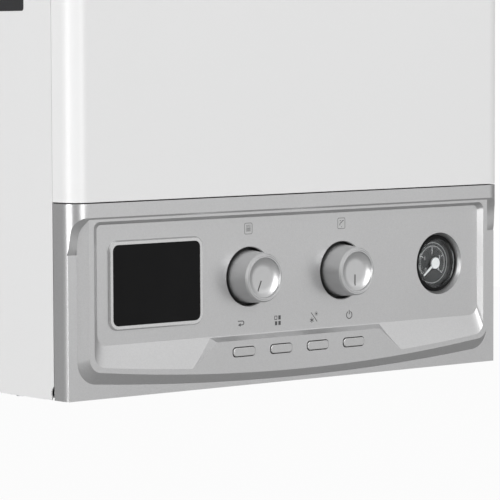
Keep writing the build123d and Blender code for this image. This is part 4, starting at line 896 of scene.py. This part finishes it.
def drawScale():
    zero, sweep, radius = gaugeScale["zero"], gaugeScale["sweep"], gaugeScale["scaleRadius"]
    line = arc((0, 0), radius, zero, zero + sweep, gaugeScale["scaleSteps"])
    faces = strip(line, gaugeScale["scaleLine"])
    faces += strip(arc(**gaugeScale["ring"]), gaugeScale["ringLine"], closed=True)
    ticks = gaugeScale["ticks"]
    steps = gaugeScale["highest"] * ticks
    atNumber, atHalf, between = gaugeScale["tickLengths"]
    for index in range(steps + 1):
        length, width = between, gaugeScale["tickLine"]
        if index % ticks == 0:
            length, width = atNumber, gaugeScale["numberTickLine"]
        elif index % (ticks // 2) == 0:
            length = atHalf
        faces += spoke((0, 0), radius, radius - length, zero + sweep * index / steps, width)
    scale = layMark("dial_scale", faces, "gauge_dial", gaugeCentre, "dial", "dialPrint")
    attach(scale, "panel")


def digitMesh(number):
    text = bpy.data.curves.new("digit", "FONT")
    text.body = str(number)
    text.size = gaugeScale["digitSize"]
    text.align_x = "CENTER"
    text.align_y = "CENTER"
    text.extrude = gaugeScale["digitDepth"]
    source = bpy.data.objects.new("digit", text)
    scene.collection.objects.link(source)
    bpy.context.view_layer.update()
    data = bpy.data.meshes.new_from_object(source.evaluated_get(bpy.context.evaluated_depsgraph_get()))
    bpy.data.objects.remove(source)
    data.transform(Matrix.Rotation(math.radians(90), 4, "X"))
    return data


def drawDigits():
    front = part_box("gauge_dial")[0].y - gaugeScale["digitRise"]
    centre = (gaugeCentre[0], gaugeCentre[2])
    for number in range(gaugeScale["highest"] + 1):
        degrees = gaugeScale["zero"] + gaugeScale["sweep"] * number / gaugeScale["highest"]
        x, z = onCircle(centre, gaugeScale["digitRadius"] / 1000, degrees)
        data = digitMesh(number)
        data.transform(Matrix.Translation((x, front, z)))
        digit = linkPiece(f"dial_digit_{number}", data, finishes["dialPrint"])
        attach(digit, "panel")


sidePlate = {
    "y": (-0.2463, -0.178),
    "z": (-0.3780, -0.316),
    "radius": 0.002,
    "cornerSteps": 6,
    "thick": 0.00012,
}


def makeSidePlate():
    # Bare dark sheet on the left side, with round corners
    (y0, y1), (z0, z1) = sidePlate["y"], sidePlate["z"]
    outline = softBox(y1 - y0, z1 - z0, sidePlate["radius"], sidePlate["cornerSteps"])
    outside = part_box("left_side_panel")[0].x - sidePlate["thick"]
    mesh = bmesh.new()
    corners = [mesh.verts.new((outside, (y0 + y1) / 2 + y, (z0 + z1) / 2 + z)) for y, z in outline]
    mesh.faces.new(corners)
    thicken(mesh, (sidePlate["thick"], 0, 0))
    plate = meshPiece("side_plate", mesh, finishes["darkPlate"])
    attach(plate, "casing")


drawIcons()
drawKnobIcons()
drawPointers()
drawScale()
drawDigits()
makeSidePlate()
print("marks laid")

# Floor, world and lamps

studioFloor = {
    "height": -1.25,
    "size": 12.0,
    "roughness": 0.7,
    "tones": ((0.24, 0.24, 0.24), (0.22, 0.22, 0.22)),
    "cloudScale": 1.5,
    "white": 0.96,              # how white the camera sees it
    "glint": 0.10,              # the share of that white in reflections
}


def makeFloor():
    material = bpy.data.materials.new("pale studio floor")
    material.use_nodes = True
    tree = material.node_tree
    shader = tree.nodes["Principled BSDF"]
    shader.inputs["Roughness"].default_value = studioFloor["roughness"]
    clouds = addGroup(tree, toneDrift, "Value", Scale=studioFloor["cloudScale"])
    tree.links.new(mixColors(tree, clouds, *studioFloor["tones"]), shader.inputs["Base Color"])
    ray = tree.nodes.new("ShaderNodeLightPath")
    glint = mathNode(tree, "MULTIPLY", ray.outputs["Is Glossy Ray"], studioFloor["glint"])
    seen = mathNode(tree, "MAXIMUM", ray.outputs["Is Camera Ray"], glint)
    seen = mathNode(tree, "MAXIMUM", seen, ray.outputs["Is Transmission Ray"])
    white = mathNode(tree, "MULTIPLY", seen, studioFloor["white"])
    glow = tree.nodes.new("ShaderNodeEmission")
    glow.inputs["Color"].default_value = (1, 1, 1, 1)
    blendShaders(material, white, shader.outputs["BSDF"], glow.outputs["Emission"])

    half = studioFloor["size"] / 2
    mesh = bmesh.new()
    corners = rectangle(-half, -half, half, half)
    mesh.faces.new([mesh.verts.new((x, y, studioFloor["height"])) for x, y in corners])
    meshPiece("studio_floor", mesh, material)


studioWorld = {
    "heights": (-0.35, 0.6),    # directions between which the light grows from below to above
    "strengths": (0.06, 0.74),
}


def makeWorld():
    world = bpy.data.worlds.new("studio world")
    world.use_nodes = True
    scene.world = world
    tree = world.node_tree
    place = tree.nodes.new("ShaderNodeTexCoord").outputs["Generated"]
    level = remap(tree, splitPlace(tree, place)["Z"], studioWorld["heights"], studioWorld["strengths"])
    ray = tree.nodes.new("ShaderNodeLightPath")
    white = mathNode(tree, "MAXIMUM", level, ray.outputs["Is Camera Ray"])
    tree.links.new(white, tree.nodes["Background"].inputs["Strength"])
    tree.nodes["Background"].inputs["Color"].default_value = (1, 1, 1, 1)


lamps = {
    "leftSoftbox": {"place": (-2.9, -0.4, 0.0), "aim": (0, -0.2, -0.4), "size": (1.5, 2.6), "power": 49},
    "frontSoftbox": {"place": (0.0, -3.8, 0.3), "aim": (0, -0.2, -0.4), "size": (1.9, 2.4), "power": 54},
    "rightFill": {"place": (2.3, -2.9, -0.4), "aim": (0, -0.2, -0.4), "size": (2.2, 2.4), "power": 9},
    "backFill": {"place": (0.2, 2.8, 1.0), "aim": (0, 0, -0.3), "size": (2.4, 1.6), "power": 22},
}


def makeLamps():
    for name, lamp in lamps.items():
        light = bpy.data.lights.new(name, "AREA")
        light.shape = "RECTANGLE"
        light.size, light.size_y = lamp["size"]
        light.energy = lamp["power"]
        holder = bpy.data.objects.new(name, light)
        scene.collection.objects.link(holder)
        holder.location = lamp["place"]
        aim = Vector(lamp["aim"]) - Vector(lamp["place"])
        holder.rotation_euler = aim.to_track_quat("-Z", "Y").to_euler()
        holder.visible_camera = False


makeFloor()
makeWorld()
makeLamps()
scene.view_settings.view_transform = "Standard"
print("studio ready")
